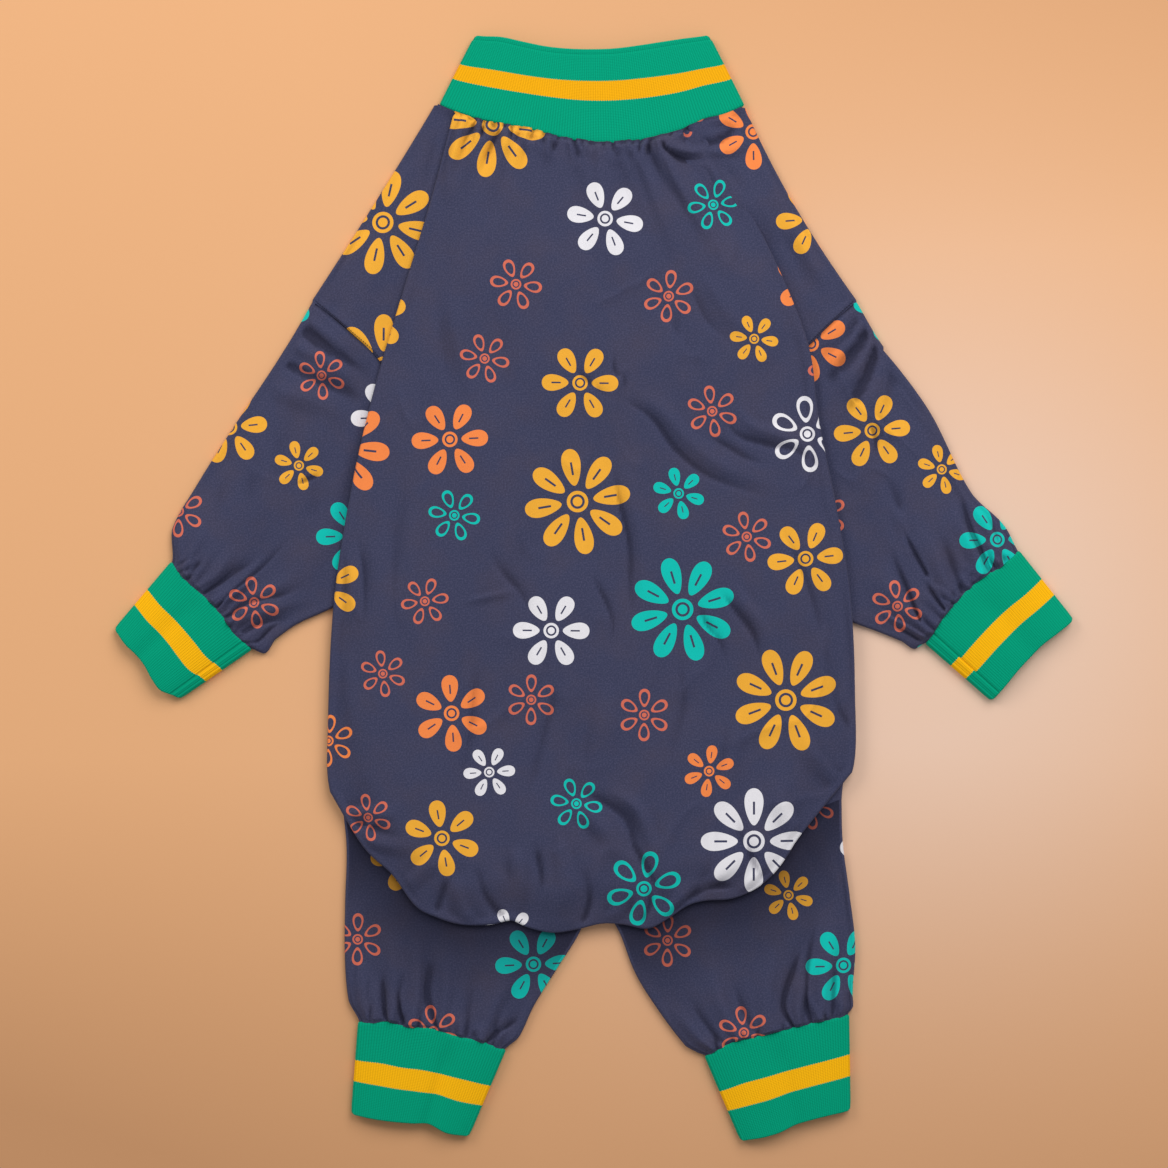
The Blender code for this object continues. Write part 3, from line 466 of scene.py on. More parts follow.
LOWER_FOLDS = {
    "front_leg_left": [
        fold("303,330 334,352 380,372", 4, 6, -2.0, 0.2),
        fold("306,318 340,346 384,380", 3.4, 6, 1.5, 0.2),
        fold("298,348 334,368 376,400", 4, 7, 1.8, 0.3),
        fold("290,366 330,384 372,396", 3, 6, -1.8),
        fold("282,392 322,404 366,430", 5, 8, 1.4, 0.2),
        fold("264,420 262,490 244,560", 6, 9, 1.5, 0.2, True),
        fold("300,430 310,500 290,570", 7, 9, -1.4, 0.0, True),
        fold("340,440 330,520 300,590", 7, 8, 1.5, 0.0, True),
        fold("228,470 214,520 206,560", 5, 6, -1.2, 0.0, True),
        fold("204,594 219,584 233,573 247,564 262,552", 1.1, 4, -3.4, 0.3),
        fold("199,588 218,572 238,540", 2.8, 6, 2.2, 0.2),
        fold("214,604 240,588 268,556", 2.6, 6, 2.4, 0.3),
        fold("216,609 230,594 259,570 286,543 298,536", 1.1, 2.4, -2.4, 0.2),
        fold("230,622 262,600 304,574", 2.8, 6, 2.0, 0.2),
        fold("221,619 231,615 246,604 263,599 283,594 308,583", 1.2, 4.5, -3.2, 0.4),
        fold("240,644 256,642 273,627 296,619", 1.2, 1.6, -2.2),
        fold("183,573 196,545 206,520", 2.4, 5, 1.6, 0.2),
        fold("244,632 258,625 273,621 297,618", 1.6, 3.0, -2.2, 0.3),
        fold("226,626 250,616 284,606 322,594", 3.0, 6, 1.8, 0.2),
        fold("293,486 318,476 330,474", 1.4, 2.0, -1.2, 0.3, True),
        fold("412,150 396,200 388,260", 5, 8, 1.4, 0.0, True),
        fold("436,130 430,170 418,220", 3, 5, -1.4, 0.0, True),
        fold("372,220 344,270 330,312", 6, 8, 1.4, 0.2, True),
    ],
    "front_leg_right": [
        fold("868,312 848,344 816,372", 2.2, 5, 2.6, 0.4),
        fold("872,322 850,354 822,384", 1.8, 4, -2.4),
        fold("876,332 858,366 826,402", 2.4, 6, 2.6, 0.3),
        fold("878,338 866,376 840,424", 2.0, 5, -2.2),
        fold("886,350 874,392 852,448", 3.4, 8, 1.7, 0.2),
        fold("874,414 884,436 882,460", 1.4, 1.8, 1.5, 0.3, True),
        fold("868,420 876,440 874,462", 1.6, 2.0, -1.3, 0.0, True),
        fold("944,450 962,490 978,520", 4, 5, 1.8, 0.2, True),
        fold("991,571 986,561 979,545 973,533 966,512 960,486", 1.4, 3.4, -4.2, 0.4),
        fold("1003,566 994,540 980,506 968,480", 2.8, 4.5, 2.6, 0.4),
        fold("984,580 974,550 962,520 950,490", 3.4, 6, 2.8, 0.3),
        fold("962,592 950,556 936,526", 2.0, 4, -2.4),
        fold("950,600 938,560 918,520", 3.0, 7, 2.2, 0.2),
        fold("920,620 914,605 907,588 897,566 886,540", 1.2, 4, -3.2, 0.3),
        fold("926,632 896,600 870,560", 3.4, 8, 1.9, 0.2),
        fold("927,574 914,551 902,530 892,508", 1.3, 4, -2.8, 0.3),
        fold("944,609 934,595 922,576", 1.1, 3, -2.8, 0.3),
        fold("924,637 906,626 891,618 874,606", 1.3, 2.2, 1.8, 0.2),
        fold("922,642 904,632 888,626", 1.2, 2, -1.8),
        fold("904,520 896,496 882,470", 3.0, 6, -1.7, 0.0, True),
        fold("912,560 900,524 892,500", 2.6, 4, 1.6, 0.0, True),
        fold("1012,548 1000,524 986,506", 2.0, 4, -1.5),
        fold("756,136 776,190 800,240", 4, 8, 1.5, 0.0, True),
        fold("690,125 708,119 730,120 745,132", 3.0, 4, 3.0, 0.2, True),
        fold("696,140 712,142 728,134 738,122", 2.4, 3, -3.4, 0.0, True),
        fold("702,152 720,152 738,146 752,134", 3.0, 4, 2.2, 0.2, True),
        fold("716,160 734,176 756,214", 3.0, 6, -1.6, 0.0, True),
        fold("790,210 812,260 846,306", 5, 7, 1.5, 0.2, True),
        fold("776,220 802,270 826,316", 4, 6, -1.4, 0.0, True),
    ],
    "hind_leg_left": [
        fold("388,1021 385,1010 384,996 381,966", 1.2, 4, -3.4, 0.3),
        fold("392,1020 396,984 392,930", 2.8, 6, 2.2, 0.2),
        fold("404,1023 400,1012 398,994 402,970", 1.2, 3, -2.8, 0.2),
        fold("414,1025 418,980 416,910", 3.0, 7, 2.2, 0.2),
        fold("437,1027 430,1006 428,990 430,970 429,936", 1.3, 5, -3.4, 0.3),
        fold("440,1029 446,990 444,930", 3.4, 7, 2.2, 0.2),
        fold("466,1036 470,1000 484,950", 2.6, 6, -1.8),
        fold("482,1042 494,1010 516,970", 3.0, 6, 1.9, 0.2),
        fold("486,1043 496,1035 509,1026 524,1016", 1.2, 3, -2.8, 0.3),
        fold("364,1018 362,990 364,950", 2.6, 5, 1.6, 0.2),
        fold("372,900 366,950 374,980", 6, 7, -1.2, 0.0, True),
    ],
    "hind_leg_right": [
        fold("794,1027 785,1011 786,994 797,962 808,926", 1.3, 4, -3.6, 0.4),
        fold("774,1034 768,1000 776,940", 3.4, 7, 2.4, 0.3),
        fold("798,1027 800,1000 812,950", 2.8, 6, 2.6, 0.2),
        fold("812,1024 806,996 812,940 826,896", 1.6, 5, -3.0, 0.4),
        fold("820,1022 826,980 838,900", 2.8, 6, 2.2, 0.2),
        fold("832,1020 834,996 836,960", 1.8, 3, -1.9),
        fold("758,1038 744,1010 730,970", 2.0, 5, -2.0),
        fold("742,1044 724,1010 704,960", 3.0, 6, 2.0, 0.2),
        fold("726,1048 706,1024 684,990", 2.0, 4, -1.9),
        fold("714,1053 692,1030 668,1000", 2.4, 5, 1.6, 0.2),
        fold("800,830 816,880 818,940", 6, 8, -1.6, 0.2, True),
        fold("832,840 840,900 838,960", 5, 6, 1.5, 0.0, True),
    ],
}


# Outlines and seams in plan, as on the solids

def neck_lift(x):
    """How much higher the neck seam lies in two places than on the solid."""
    left = 0.0060 * np.exp(-((x + 0.045) / 0.036) ** 2)
    return left + 0.0026 * np.exp(-((x - 0.078) / 0.011) ** 2)


def neck_y(x):
    return NECK_Y + NECK_SAG * (2 * x / NECK_WIDTH) ** 2 + neck_lift(x)


def seam_bow(name, share):
    """How far a cuff's seam is drawn towards the body, from its inner end to its outer."""
    table = np.array(SEAM_BOWS[name]) / 1e3
    return curve(table, share * (len(table) - 1))


FOLD = np.array([(a * BACK_WIDTH / 2, NECK_Y - d * BACK_LENGTH) for a, d, _ in BACK_FOLD])
FOLD[0, 1] = neck_y(FOLD[0, 0])
FOLD[-1, 1] = neck_y(FOLD[-1, 0])
TUCKS = np.array([row[2] for row in BACK_FOLD]) * TUCK_DEPTH
LAST_FOLD = len(FOLD) - 1
HEM = np.array([FOLD[LEFT_FOLD_END]] + spots_of(HEM_LINE) + [FOLD[RIGHT_FOLD_END]])
HEM = curve(HEM, np.linspace(0, len(HEM) - 1, 300))
FOLD_LOOP = np.concatenate([
    curve(FOLD, np.linspace(0, LEFT_FOLD_END, 100)),
    HEM[1:-1],
    curve(FOLD, np.linspace(RIGHT_FOLD_END, LAST_FOLD, 100)),
])


def armhole(side, share):
    shoulder = np.array([side["sign"] * side["shoulder"], SHOULDER_Y])
    underarm = np.array([side["sign"] * side["underarm"], side["underarm_y"]])
    chord = underarm - shoulder
    inward = np.array([side["sign"] * chord[1], -side["sign"] * chord[0]])
    rows = [shoulder + chord * along + inward * off for along, off in ARMHOLE]
    return curve(rows, np.asarray(share) * (len(rows) - 1))


def hip(side):
    return np.array([side["sign"] * side["hip"], side["hip_y"]])


def seat_y(x):
    left = hip(SIDES["left"])
    right = hip(SIDES["right"])
    return np.where(
        x < 0,
        lerp(CROTCH_Y, left[1], x / left[0]),
        lerp(CROTCH_Y, right[1], x / right[0]),
    )


def corner_share(side):
    line = armhole(side, np.linspace(0, 1, 200))
    length = np.linalg.norm(np.diff(line, axis=0), axis=1).sum()
    return EDGE_BEND / length


def body_seam(name, count):
    side = SIDES[LEGS[name]["side"]]
    if name.startswith("front"):
        inset = corner_share(side)
        return armhole(side, np.linspace(inset, 1 - inset, count + 1))
    inner_x = side["sign"] * (SEAM_GAP + EDGE_BEND)
    inner = np.array([inner_x, float(seat_y(np.array(inner_x)))])
    return lerp(hip(side), inner, np.linspace(0, 1, count + 1)[:, None])


def cuff_seam(name):
    leg = LEGS[name]
    line = body_seam(name, 60)
    sign = SIDES[leg["side"]]["sign"]
    middle = (line[0] + line[-1]) / 2 + heading(leg["heading"]) * leg["reach"]
    outward = heading(leg["square"] + sign * 90)
    half = leg["wrist"] / 2 - EDGE_BEND
    return middle, middle + outward * half, middle - outward * half


def leg_edges(name, share):
    """The outer and inner edge at those shares of the leg's length."""
    leg = LEGS[name]
    line = body_seam(name, 60)
    sign = SIDES[leg["side"]]["sign"]
    _, outer_end, inner_end = cuff_seam(name)
    rows = np.array(LEG_EDGES[name])
    position = np.interp(share, rows[:, 0], np.arange(len(rows)))
    found = []
    for start, end, column, turn in (
        (line[0], outer_end, 1, sign),
        (line[-1], inner_end, 2, -sign),
    ):
        along = unit(end - start)
        square = np.array([-along[1], along[0]]) * turn
        bulge = curve(rows[:, column], position) * leg["reach"]
        if (name, column) == SLEEVE_NICK[:2]:
            beyond = share - SLEEVE_NICK[2]
            bulge = bulge - SLEEVE_NICK[3] * (beyond > 0) * np.exp(-np.abs(beyond) / 0.06)
        found.append(lerp(start, end, share[:, None]) + square * bulge[:, None])
    return found


def shoulder_edge(side, count):
    """The free edge from the collar to the shoulder end of the armhole."""
    neck_x = side["sign"] * (NECK_WIDTH / 2 + side["spread"] - EDGE_BEND)
    neck = np.array([neck_x, neck_y(neck_x)])
    shoulder = np.array([side["sign"] * side["shoulder"], SHOULDER_Y])
    share = np.linspace(0, 1, count + 1)
    line = lerp(neck, shoulder, share[:, None])
    line[:, 0] -= side["sign"] * side["dip"] * 4 * share * (1 - share)
    return line


# Heights of the layers

# How far from an edge, from the neck seam and from a cuff's seam the folds and heights
# come to their full size
EDGE_EASE = 0.006
NECK_EASE = 0.0035
CUFF_EASE = 0.0032


def free_edges(name):
    """The lines along which a lower layer's top turns under."""
    outer, inner = leg_edges(name, np.linspace(0, 1, 60))
    if name.startswith("front"):
        side = SIDES[LEGS[name]["side"]]
        outer = np.concatenate([shoulder_edge(side, 30)[:-1], outer])
    return outer, inner


def leg_gathers(name, seed):
    leg = LEGS[name]
    _, outer, inner = cuff_seam(name)
    line = np.stack([outer, inner])
    way = -heading(leg["axis"])
    return gathers(line, way, 0.0075, 0.030, 0.0013, seed)


EDGES = {name: free_edges(name) for name in LEGS}
FOLDS = {
    name: LOWER_FOLDS[name] + leg_gathers(name, 5 + i)
    for i, name in enumerate(LEGS)
}


def cloth_noise(points, seed, angle):
    """The uneven lie of thin jersey: long soft waves one way, small ones all ways."""
    way = heading(angle)
    along = points @ way
    across = points @ np.array([-way[1], way[0]])
    swing = 0.010 * noise(along, across, 0.060, seed + 7)
    long = noise(along * 0.28, across + swing, 0.020, seed)
    broad = noise(along, across, 0.055, seed + 1)
    small = noise(along * 0.6, across + swing, 0.009, seed + 2)
    line = 1 - np.abs(noise(along * 0.40 + across * 0.1, across + 0.5 * swing, 0.022, seed + 3))
    crease = line ** 7 * smooth(2.2 * noise(along, across, 0.045, seed + 4))
    return 0.0009 * long + 0.0012 * broad + 0.00020 * small + 0.0010 * crease


def lower_height(name, points):
    """Top of a leg, or of the belly's turned-up side beside it: its height without
    folds, and what the folds add."""
    outer, inner = EDGES[name]
    edge = np.minimum(distance(points, outer), distance(points, inner))
    outside = np.where(inside(points, FOLD_LOOP), 0.0, distance(points, FOLD_LOOP))
    lift = np.exp(-(outside / 0.014) ** 2) * smooth((points[..., 1] - 0.238) / 0.040)
    lift = lift * (points[..., 0] > 0)
    soft = np.maximum(smooth((outside - 0.001) / 0.008), lift) * smooth(edge / EDGE_EASE)
    detail = fold_heights(points, FOLDS[name])
    detail += cloth_noise(points, 20 + len(name), LEGS[name]["heading"])
    detail = eased(detail, -0.0036, 0.0045) * soft
    swell = smooth((outside - CROWN_START) / CROWN_RUN) * smooth(edge / CROWN_RUN)
    if name.startswith("front"):
        seam = distance(points, armhole(SIDES[LEGS[name]["side"]], np.linspace(0, 1, 80)))
        detail += soft * 0.0006 * np.exp(-((seam - 0.003) / 0.003) ** 2)
        detail -= 0.0010 * np.exp(-(seam / 0.0009) ** 2)
    base = LOWER_TOP + LIMB_CROWN * swell
    return lerp(base, BACK_LEVEL + 0.001, lift), np.maximum(detail, -0.0026 - 0.003 * lift)


def collar_top(x):
    """Height of the collar's own mid wall at its seam."""
    half = NECK_WIDTH / 2 - RIB_BEND
    return RIB / 2 + 2 * RIB_BEND + NECK_CROWN * (1 - np.clip(np.abs(x) / half, 0, 1) ** 4)


def seam_wave(x):
    """How far the gathered neck seam strays from its smooth line."""
    return 0.0007 * noise(x, 0 * x, 0.0065, 31) + 0.0003 * noise(x, 0 * x, 0.0028, 32)


neck_line = np.linspace(-0.096, 0.074, 60)
BACK_TABLE = BACK_FOLDS + gathers(
    np.stack([neck_line, neck_y(neck_line)], 1), np.array([0.0, -1.0]), 0.0070, 0.022,
    0.0026, 3,
)


def back_height(points, edge):
    """Height of the back panel's top, level at its fold and fuller in the middle."""
    below = neck_y(points[..., 0]) + seam_wave(points[..., 0]) - points[..., 1]
    swell = smooth(edge / CROWN_RUN)
    neck = np.exp(-np.maximum(below, 0) / 0.026)
    crown = lerp(BACK_CROWN, NECK_CROWN - COLLAR_CROWN / 2, neck)
    seam = smooth(below / NECK_EASE)
    detail = fold_heights(points, BACK_TABLE) + 1.3 * cloth_noise(points, 3, 90)
    height = BACK_LEVEL + crown * swell
    height = lerp(collar_top(points[..., 0]) + 0.0005, height, seam)
    detail = detail * smooth(edge / EDGE_EASE) * lerp(0.5, 1.0, seam)
    detail = eased(detail, -0.0030 - 0.0012 * seam, 0.0048)
    return height + above_seam(detail, below)


# Meshes

UP = np.array([0.0, 0.0, 1.0])
DOWN = -UP
BEND_STEPS = 8
# How far the neck edge of the jersey runs under the collar
NECK_TUCK = 0.0010


def in_scene(name, data):
    made = bpy.data.objects.new(name, data)
    bpy.context.scene.collection.objects.link(made)
    return made


def turn_under(edge, outward, top, bottom):
    """The rows of points of a half turn from a top edge out and down to a bottom one."""
    radius = (top - bottom) / 2
    rows = []
    for angle in math.pi * np.arange(1, BEND_STEPS) / BEND_STEPS:
        out = edge + outward * (radius * math.sin(angle))[..., None]
        rows.append(raised(out, bottom + radius * (math.cos(angle) + 1)))
    return rows


class Cloth:
    """Collects grids of points into one mesh, with a flat cloth coordinate at each
    corner and numbers at each point."""

    def __init__(self):
        self.points = []
        self.count = 0
        self.quads = []
        self.flats = []
        self.extras = {}

    def add(self, grid, hollow=0.0, **extras):
        """Adds a grid of points, and returns their numbers in the same layout."""
        # The hollow numbers say how much shade the material paints into the cloth at each point.
        extras["hollow"] = hollow
        flat = grid.reshape(-1, 3)
        index = np.arange(self.count, self.count + len(flat)).reshape(grid.shape[:-1])
        self.points.append(flat)
        self.count += len(flat)
        for name, values in extras.items():
            values = np.broadcast_to(values, grid.shape[:-1]).reshape(-1)
            self.extras.setdefault(name, []).append(values)
        return index

    def join(self, index, flat, facing, probe=0.5, keep=None):
        """Spans a grid of point numbers with faces. flat holds each point's (u, v), and
        facing is the way that the face at the share probe across the grid looks."""
        points = np.concatenate(self.points)
        i = (len(index) - 1) // 2
        j = int((index.shape[1] - 1) * probe)
        first = points[index[i, j + 1]] - points[index[i, j]]
        second = points[index[i + 1, j]] - points[index[i, j]]
        if np.dot(np.cross(first, second), facing) < 0:
            index = index[::-1]
            flat = flat[::-1]
            keep = None if keep is None else keep[::-1]
        corners = [index[:-1, :-1], index[:-1, 1:], index[1:, 1:], index[1:, :-1]]
        places = [flat[:-1, :-1], flat[:-1, 1:], flat[1:, 1:], flat[1:, :-1]]
        quads = np.stack(corners, -1).reshape(-1, 4)
        spots = np.stack(places, 2).reshape(-1, 4, 2)
        if keep is not None:
            quads = quads[keep.reshape(-1)]
            spots = spots[keep.reshape(-1)]
        self.quads.append(quads)
        self.flats.append(spots)

    def roll_under(self, edge, beneath, outward, flat, radius, keep=None):
        """Spans a half turn from one row of points out and down to another."""
        points = np.concatenate(self.points)
        line, top = points[edge][:, :2], points[edge][:, 2]
        turned = turn_under(line, outward, top, points[beneath][:, 2])
        index = np.stack([edge] + [self.add(row) for row in turned] + [beneath], 1)
        arc = math.pi * radius * np.linspace(0, 1, BEND_STEPS + 1)
        if keep is not None:
            keep = np.repeat(keep[:, None], BEND_STEPS, 1)
        spots = flat[:, None] + outward[:, None] * arc[None, :, None]
        self.join(index, spots, sideways(outward[len(outward) // 2]), keep=keep)

    def make(self, name, material):
        points = np.concatenate(self.points)
        quads = np.concatenate(self.quads)
        spots = np.concatenate(self.flats)
        mesh = bpy.data.meshes.new(name)
        mesh.vertices.add(len(points))
        mesh.vertices.foreach_set("co", points.astype(np.float32).reshape(-1))
        mesh.loops.add(quads.size)
        mesh.loops.foreach_set("vertex_index", quads.astype(np.int32).reshape(-1))
        mesh.polygons.add(len(quads))
        starts = np.arange(0, quads.size, 4, dtype=np.int32)
        mesh.polygons.foreach_set("loop_start", starts)
        mesh.update(calc_edges=True)
        layer = mesh.uv_layers.new(name="cloth")
        layer.uv.foreach_set("vector", spots.astype(np.float32).reshape(-1))
        for key, parts in self.extras.items():
            values = np.concatenate(parts).astype(np.float32)
            mesh.attributes.new(key, "FLOAT", "POINT").data.foreach_set("value", values)
        mesh.shade_smooth()
        mesh.materials.append(material)
        return in_scene(name, mesh)


def dress(piece, node):
    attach(piece, "root")
    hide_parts(node)


# Where on the flat cloth each part lies, so that no two show the same stretch of print:
# the back, a leg's middle, how much further on its underside is, the belly's ground side,
# and how far apart the belly's two turned-up sides are
BACK_PRINT = 0.4
LEG_PRINT = 0.31
UNDERSIDE_PRINT = 0.61
BELLY_PRINT = 0.83
STRIP_PRINT = 0.13

# How fast a leg's rows close up towards the cuff, and the back panel's towards the neck
LEG_ROW_GROWTH = 1.4
ROW_GROWTH = 1.15
# How fast the curve of a leg's body seam fades along the leg
SEAM_FADE = 1.5
# How much painted shadow darkens a hind leg under the rump's edge, and how far from it that shows
RUMP_SHADE = 1.3
RUMP_SHADE_REACH = 0.034


def leg_plan(name, share, left_over, columns):
    """Rows of points from the body seam to the cuff, drawn in and uneven at the cuff."""
    line = body_seam(name, columns - 1)
    outer, inner = leg_edges(name, share)
    across = np.linspace(0, 1, columns)
    straight = lerp(line[0], line[-1], across[:, None])
    keep = ((1 - share) ** SEAM_FADE)[:, None, None]
    plan = lerp(outer[:, None], inner[:, None], across[None, :, None])
    plan = plan + (line - straight)[None] * keep
    stray = 0.0007 * noise(across, 0 * across, 0.075, 50 + len(name))
    stray = stray * smooth(np.minimum(across, 1 - across) / 0.06)
    way = heading(LEGS[name]["axis"])
    plan = plan + (np.exp(-left_over / 0.004) * stray[None])[..., None] * way
    bow = seam_bow(name, 1 - across)
    return plan - (np.exp(-left_over / 0.018) * bow[None])[..., None] * way


def leg_top(name, plan, left_over):
    """Heights of a leg's upper side, eased to the cuff's own height at its seam."""
    across = np.linspace(0, 1, plan.shape[1])
    base, detail = lower_height(name, plan)
    wrist = RIB / 2 + 2 * RIB_BEND + CUFF_CROWN * (1 - np.abs(2 * across - 1) ** 4)[None]
    full = wrist + 0.0013 * smooth(np.minimum(across, 1 - across) / 0.10)
    base = lerp(base, full, np.exp(-(left_over / 0.022) ** 2))
    seam = smooth(left_over / CUFF_EASE)
    detail = above_seam(detail * lerp(0.5, 1.0, seam), left_over)
    top = lerp(wrist + 0.0004, base, seam) + detail
    top[:, 0] = LOWER_TOP
    top[:, -1] = LOWER_TOP
    return top


def leg_piece(name, material, rows, columns):
    share = 1 - (1 - np.linspace(0, 1, rows)) ** LEG_ROW_GROWTH
    left_over = ((1 - share) * LEGS[name]["reach"])[:, None]
    plan = leg_plan(name, share, left_over, columns)
    top = leg_top(name, plan, left_over)
    hollow = hollows(top, 16)
    # Painted shadow of the rump's edge on a hind leg, kept with the painted shade of its hollows
    if name.startswith("hind"):
        away = distance(plan, FOLD_LOOP)
        hollow = np.maximum(hollow, RUMP_SHADE * np.exp(-(away / RUMP_SHADE_REACH) ** 2))
    cloth = Cloth()
    upper = cloth.add(raised(plan, top), hollow)
    under = cloth.add(raised(plan, GROUND))
    from_middle = plan - plan[rows // 2, columns // 2]
    flat = from_middle + LEG_PRINT
    cloth.join(upper, flat, UP)
    cloth.join(under, from_middle * np.array([-1.0, 1.0]) + LEG_PRINT + UNDERSIDE_PRINT, DOWN)
    for edge, beside in ((0, 1), (-1, -2)):
        outward = unit(plan[:, edge] - plan[:, beside])
        cloth.roll_under(upper[:, edge], under[:, edge], outward, flat[:, edge], EDGE_BEND)
    dress(cloth.make(name + "_cloth", material), name)


def pulled_in(line, flip):
    """An edge moved in by the bend of its fold, and the way that it looks out."""
    along = np.gradient(line, axis=0)
    square = unit(np.stack([-along[:, 1], along[:, 0]], 1)) * flip
    return line - square * FOLD_BEND, square


def round_rim(grid):
    """The left edge, the far edge and the right edge of a grid, as one row."""
    return np.concatenate([grid[:, 0], grid[-1, 1:-1], grid[::-1, -1]])


def back_edges(rows, columns):
    """The left, right, far and neck edge of the back panel's flat part, and how the
    first three look out."""
    spacing = np.linspace(0, 1, rows + 1) ** ROW_GROWTH * rows
    steps = np.arange(rows + 1)
    sides = []
    for first, final, flip in ((0, LEFT_FOLD_END, -1), (LAST_FOLD, RIGHT_FOLD_END, 1)):
        line = evenly(curve(FOLD, np.linspace(first, final, 200)), rows)
        line = np.stack([np.interp(spacing, steps, line[:, i]) for i in (0, 1)], 1)
        sides.append(pulled_in(line, flip))
    (left, left_out), (right, right_out) = sides
    x = np.linspace(FOLD[0, 0], FOLD[-1, 0], 200)
    neck = evenly(np.stack([x, neck_y(x)], 1), columns)
    hem, hem_out = pulled_in(evenly(HEM, columns), -1)
    hem[0], hem[-1] = left[-1], right[-1]
    left[0], right[0] = neck[0], neck[-1]
    outward = np.concatenate([left_out, hem_out[1:-1], right_out[::-1]])
    for _ in range(6):
        outward = unit(outward + 0.5 * (np.roll(outward, 1, 0) + np.roll(outward, -1, 0)))
    outward[0], outward[-1] = left_out[0], right_out[0]
    return left, right, hem, neck, outward


def back_piece(material, rows, columns):
    left, right, hem, neck, outward = back_edges(rows, columns)
    v = np.linspace(0, 1, rows + 1)[:, None, None] ** ROW_GROWTH
    u = np.linspace(0, 1, columns + 1)[None, :, None]
    plan = (
        lerp(neck[None], hem[None], v)
        + lerp(left[:, None], right[:, None], u)
        - lerp(lerp(neck[0], neck[-1], u), lerp(hem[0], hem[-1], u), v)
    )
    rim = np.concatenate([left, hem[1:-1], right[::-1]])
    edge = distance(plan, rim)
    near_neck = np.exp(-(neck_y(plan[..., 0]) - plan[..., 1]) / 0.005) * smooth(edge / 0.008)
    plan[..., 1] += seam_wave(plan[..., 0]) * near_neck
    plan[0, 1:-1, 1] += NECK_TUCK
    top = back_height(plan, edge)
    cloth = Cloth()
    grid = cloth.add(raised(plan, top), hollows(top, 7))
    cloth.join(grid, plan + BACK_PRINT, UP)

    places = np.concatenate([
        np.linspace(0, LEFT_FOLD_END, rows + 1),
        np.linspace(LEFT_FOLD_END, RIGHT_FOLD_END, columns + 1)[1:-1],
        np.linspace(RIGHT_FOLD_END, LAST_FOLD, rows + 1),
    ])
    depth = np.interp(places, np.arange(len(TUCKS)), TUCKS)
    inward = np.linspace(0, 1, 5)
    under = turn_under(rim, outward, round_rim(top), TUCK_LEVEL)
    under += [raised(rim - outward * (depth * step)[:, None], TUCK_LEVEL) for step in inward]
    index = np.stack([round_rim(grid)] + [cloth.add(row) for row in under], 1)
    half_turn = math.pi * FOLD_BEND
    arc = np.concatenate([
        half_turn * np.linspace(0, 1, BEND_STEPS)[:, None] * np.ones(len(rim)),
        half_turn + depth[None] * inward[:, None],
    ]).T
    spots = (rim + BACK_PRINT)[:, None] + outward[:, None] * arc[..., None]
    cloth.join(index, spots, sideways(outward[len(rim) // 2]), 0.3)
    dress(cloth.make("back_panel_cloth", material), "back_panel")


def fold_x(side, y):
    """Where the back panel's fold crosses those heights, on one side."""
    first, last = (0, LEFT_FOLD_END) if side["sign"] < 0 else (LAST_FOLD, RIGHT_FOLD_END)
    place = np.linspace(first, last, 200)
    line = curve(FOLD, place)
    tuck = np.interp(place, np.arange(len(TUCKS)), TUCKS)
    order = np.argsort(line[:, 1])
    x = np.interp(y, line[order, 1], line[order, 0])
    return x, np.interp(y, line[order, 1], tuck[order])


# How far from the hip the belly's turned-up side ends
HIP_GAP = 0.0003
# Steps along the belly's edge: shoulder, armhole, side and seat
SHOULDER_STEPS = 70
ARMHOLE_STEPS = 110
SIDE_STEPS = 60
SEAT_STEPS = 12
# The row by which the belly's rows no longer follow the curve of the neck
NECK_ROWS = 68


def belly_edge(side):
    """One side of the belly from the collar to the seat."""
    shoulder = shoulder_edge(side, SHOULDER_STEPS)[:-1]
    inset = corner_share(side)
    arm = armhole(side, np.linspace(inset, 1 - inset, ARMHOLE_STEPS))
    corner = hip(side)
    y = np.linspace(arm[-1, 1] - 0.006, corner[1] + HIP_GAP, SIDE_STEPS)
    x = fold_x(side, y)[0] - side["sign"] * (UNDERLAP + EDGE_BEND)
    share = np.linspace(0, 1, SIDE_STEPS)
    x = lerp(side["sign"] * side["underarm"], x, smooth(3 * share))
    x = lerp(x, corner[0], smooth(3 * share - 2))
    down = np.linspace(y[-1], corner[1], SEAT_STEPS + 1)[1:]
    seat = np.stack([np.full(SEAT_STEPS, corner[0]), down], 1)
    return np.concatenate([shoulder, arm, np.stack([x, y], 1), seat])


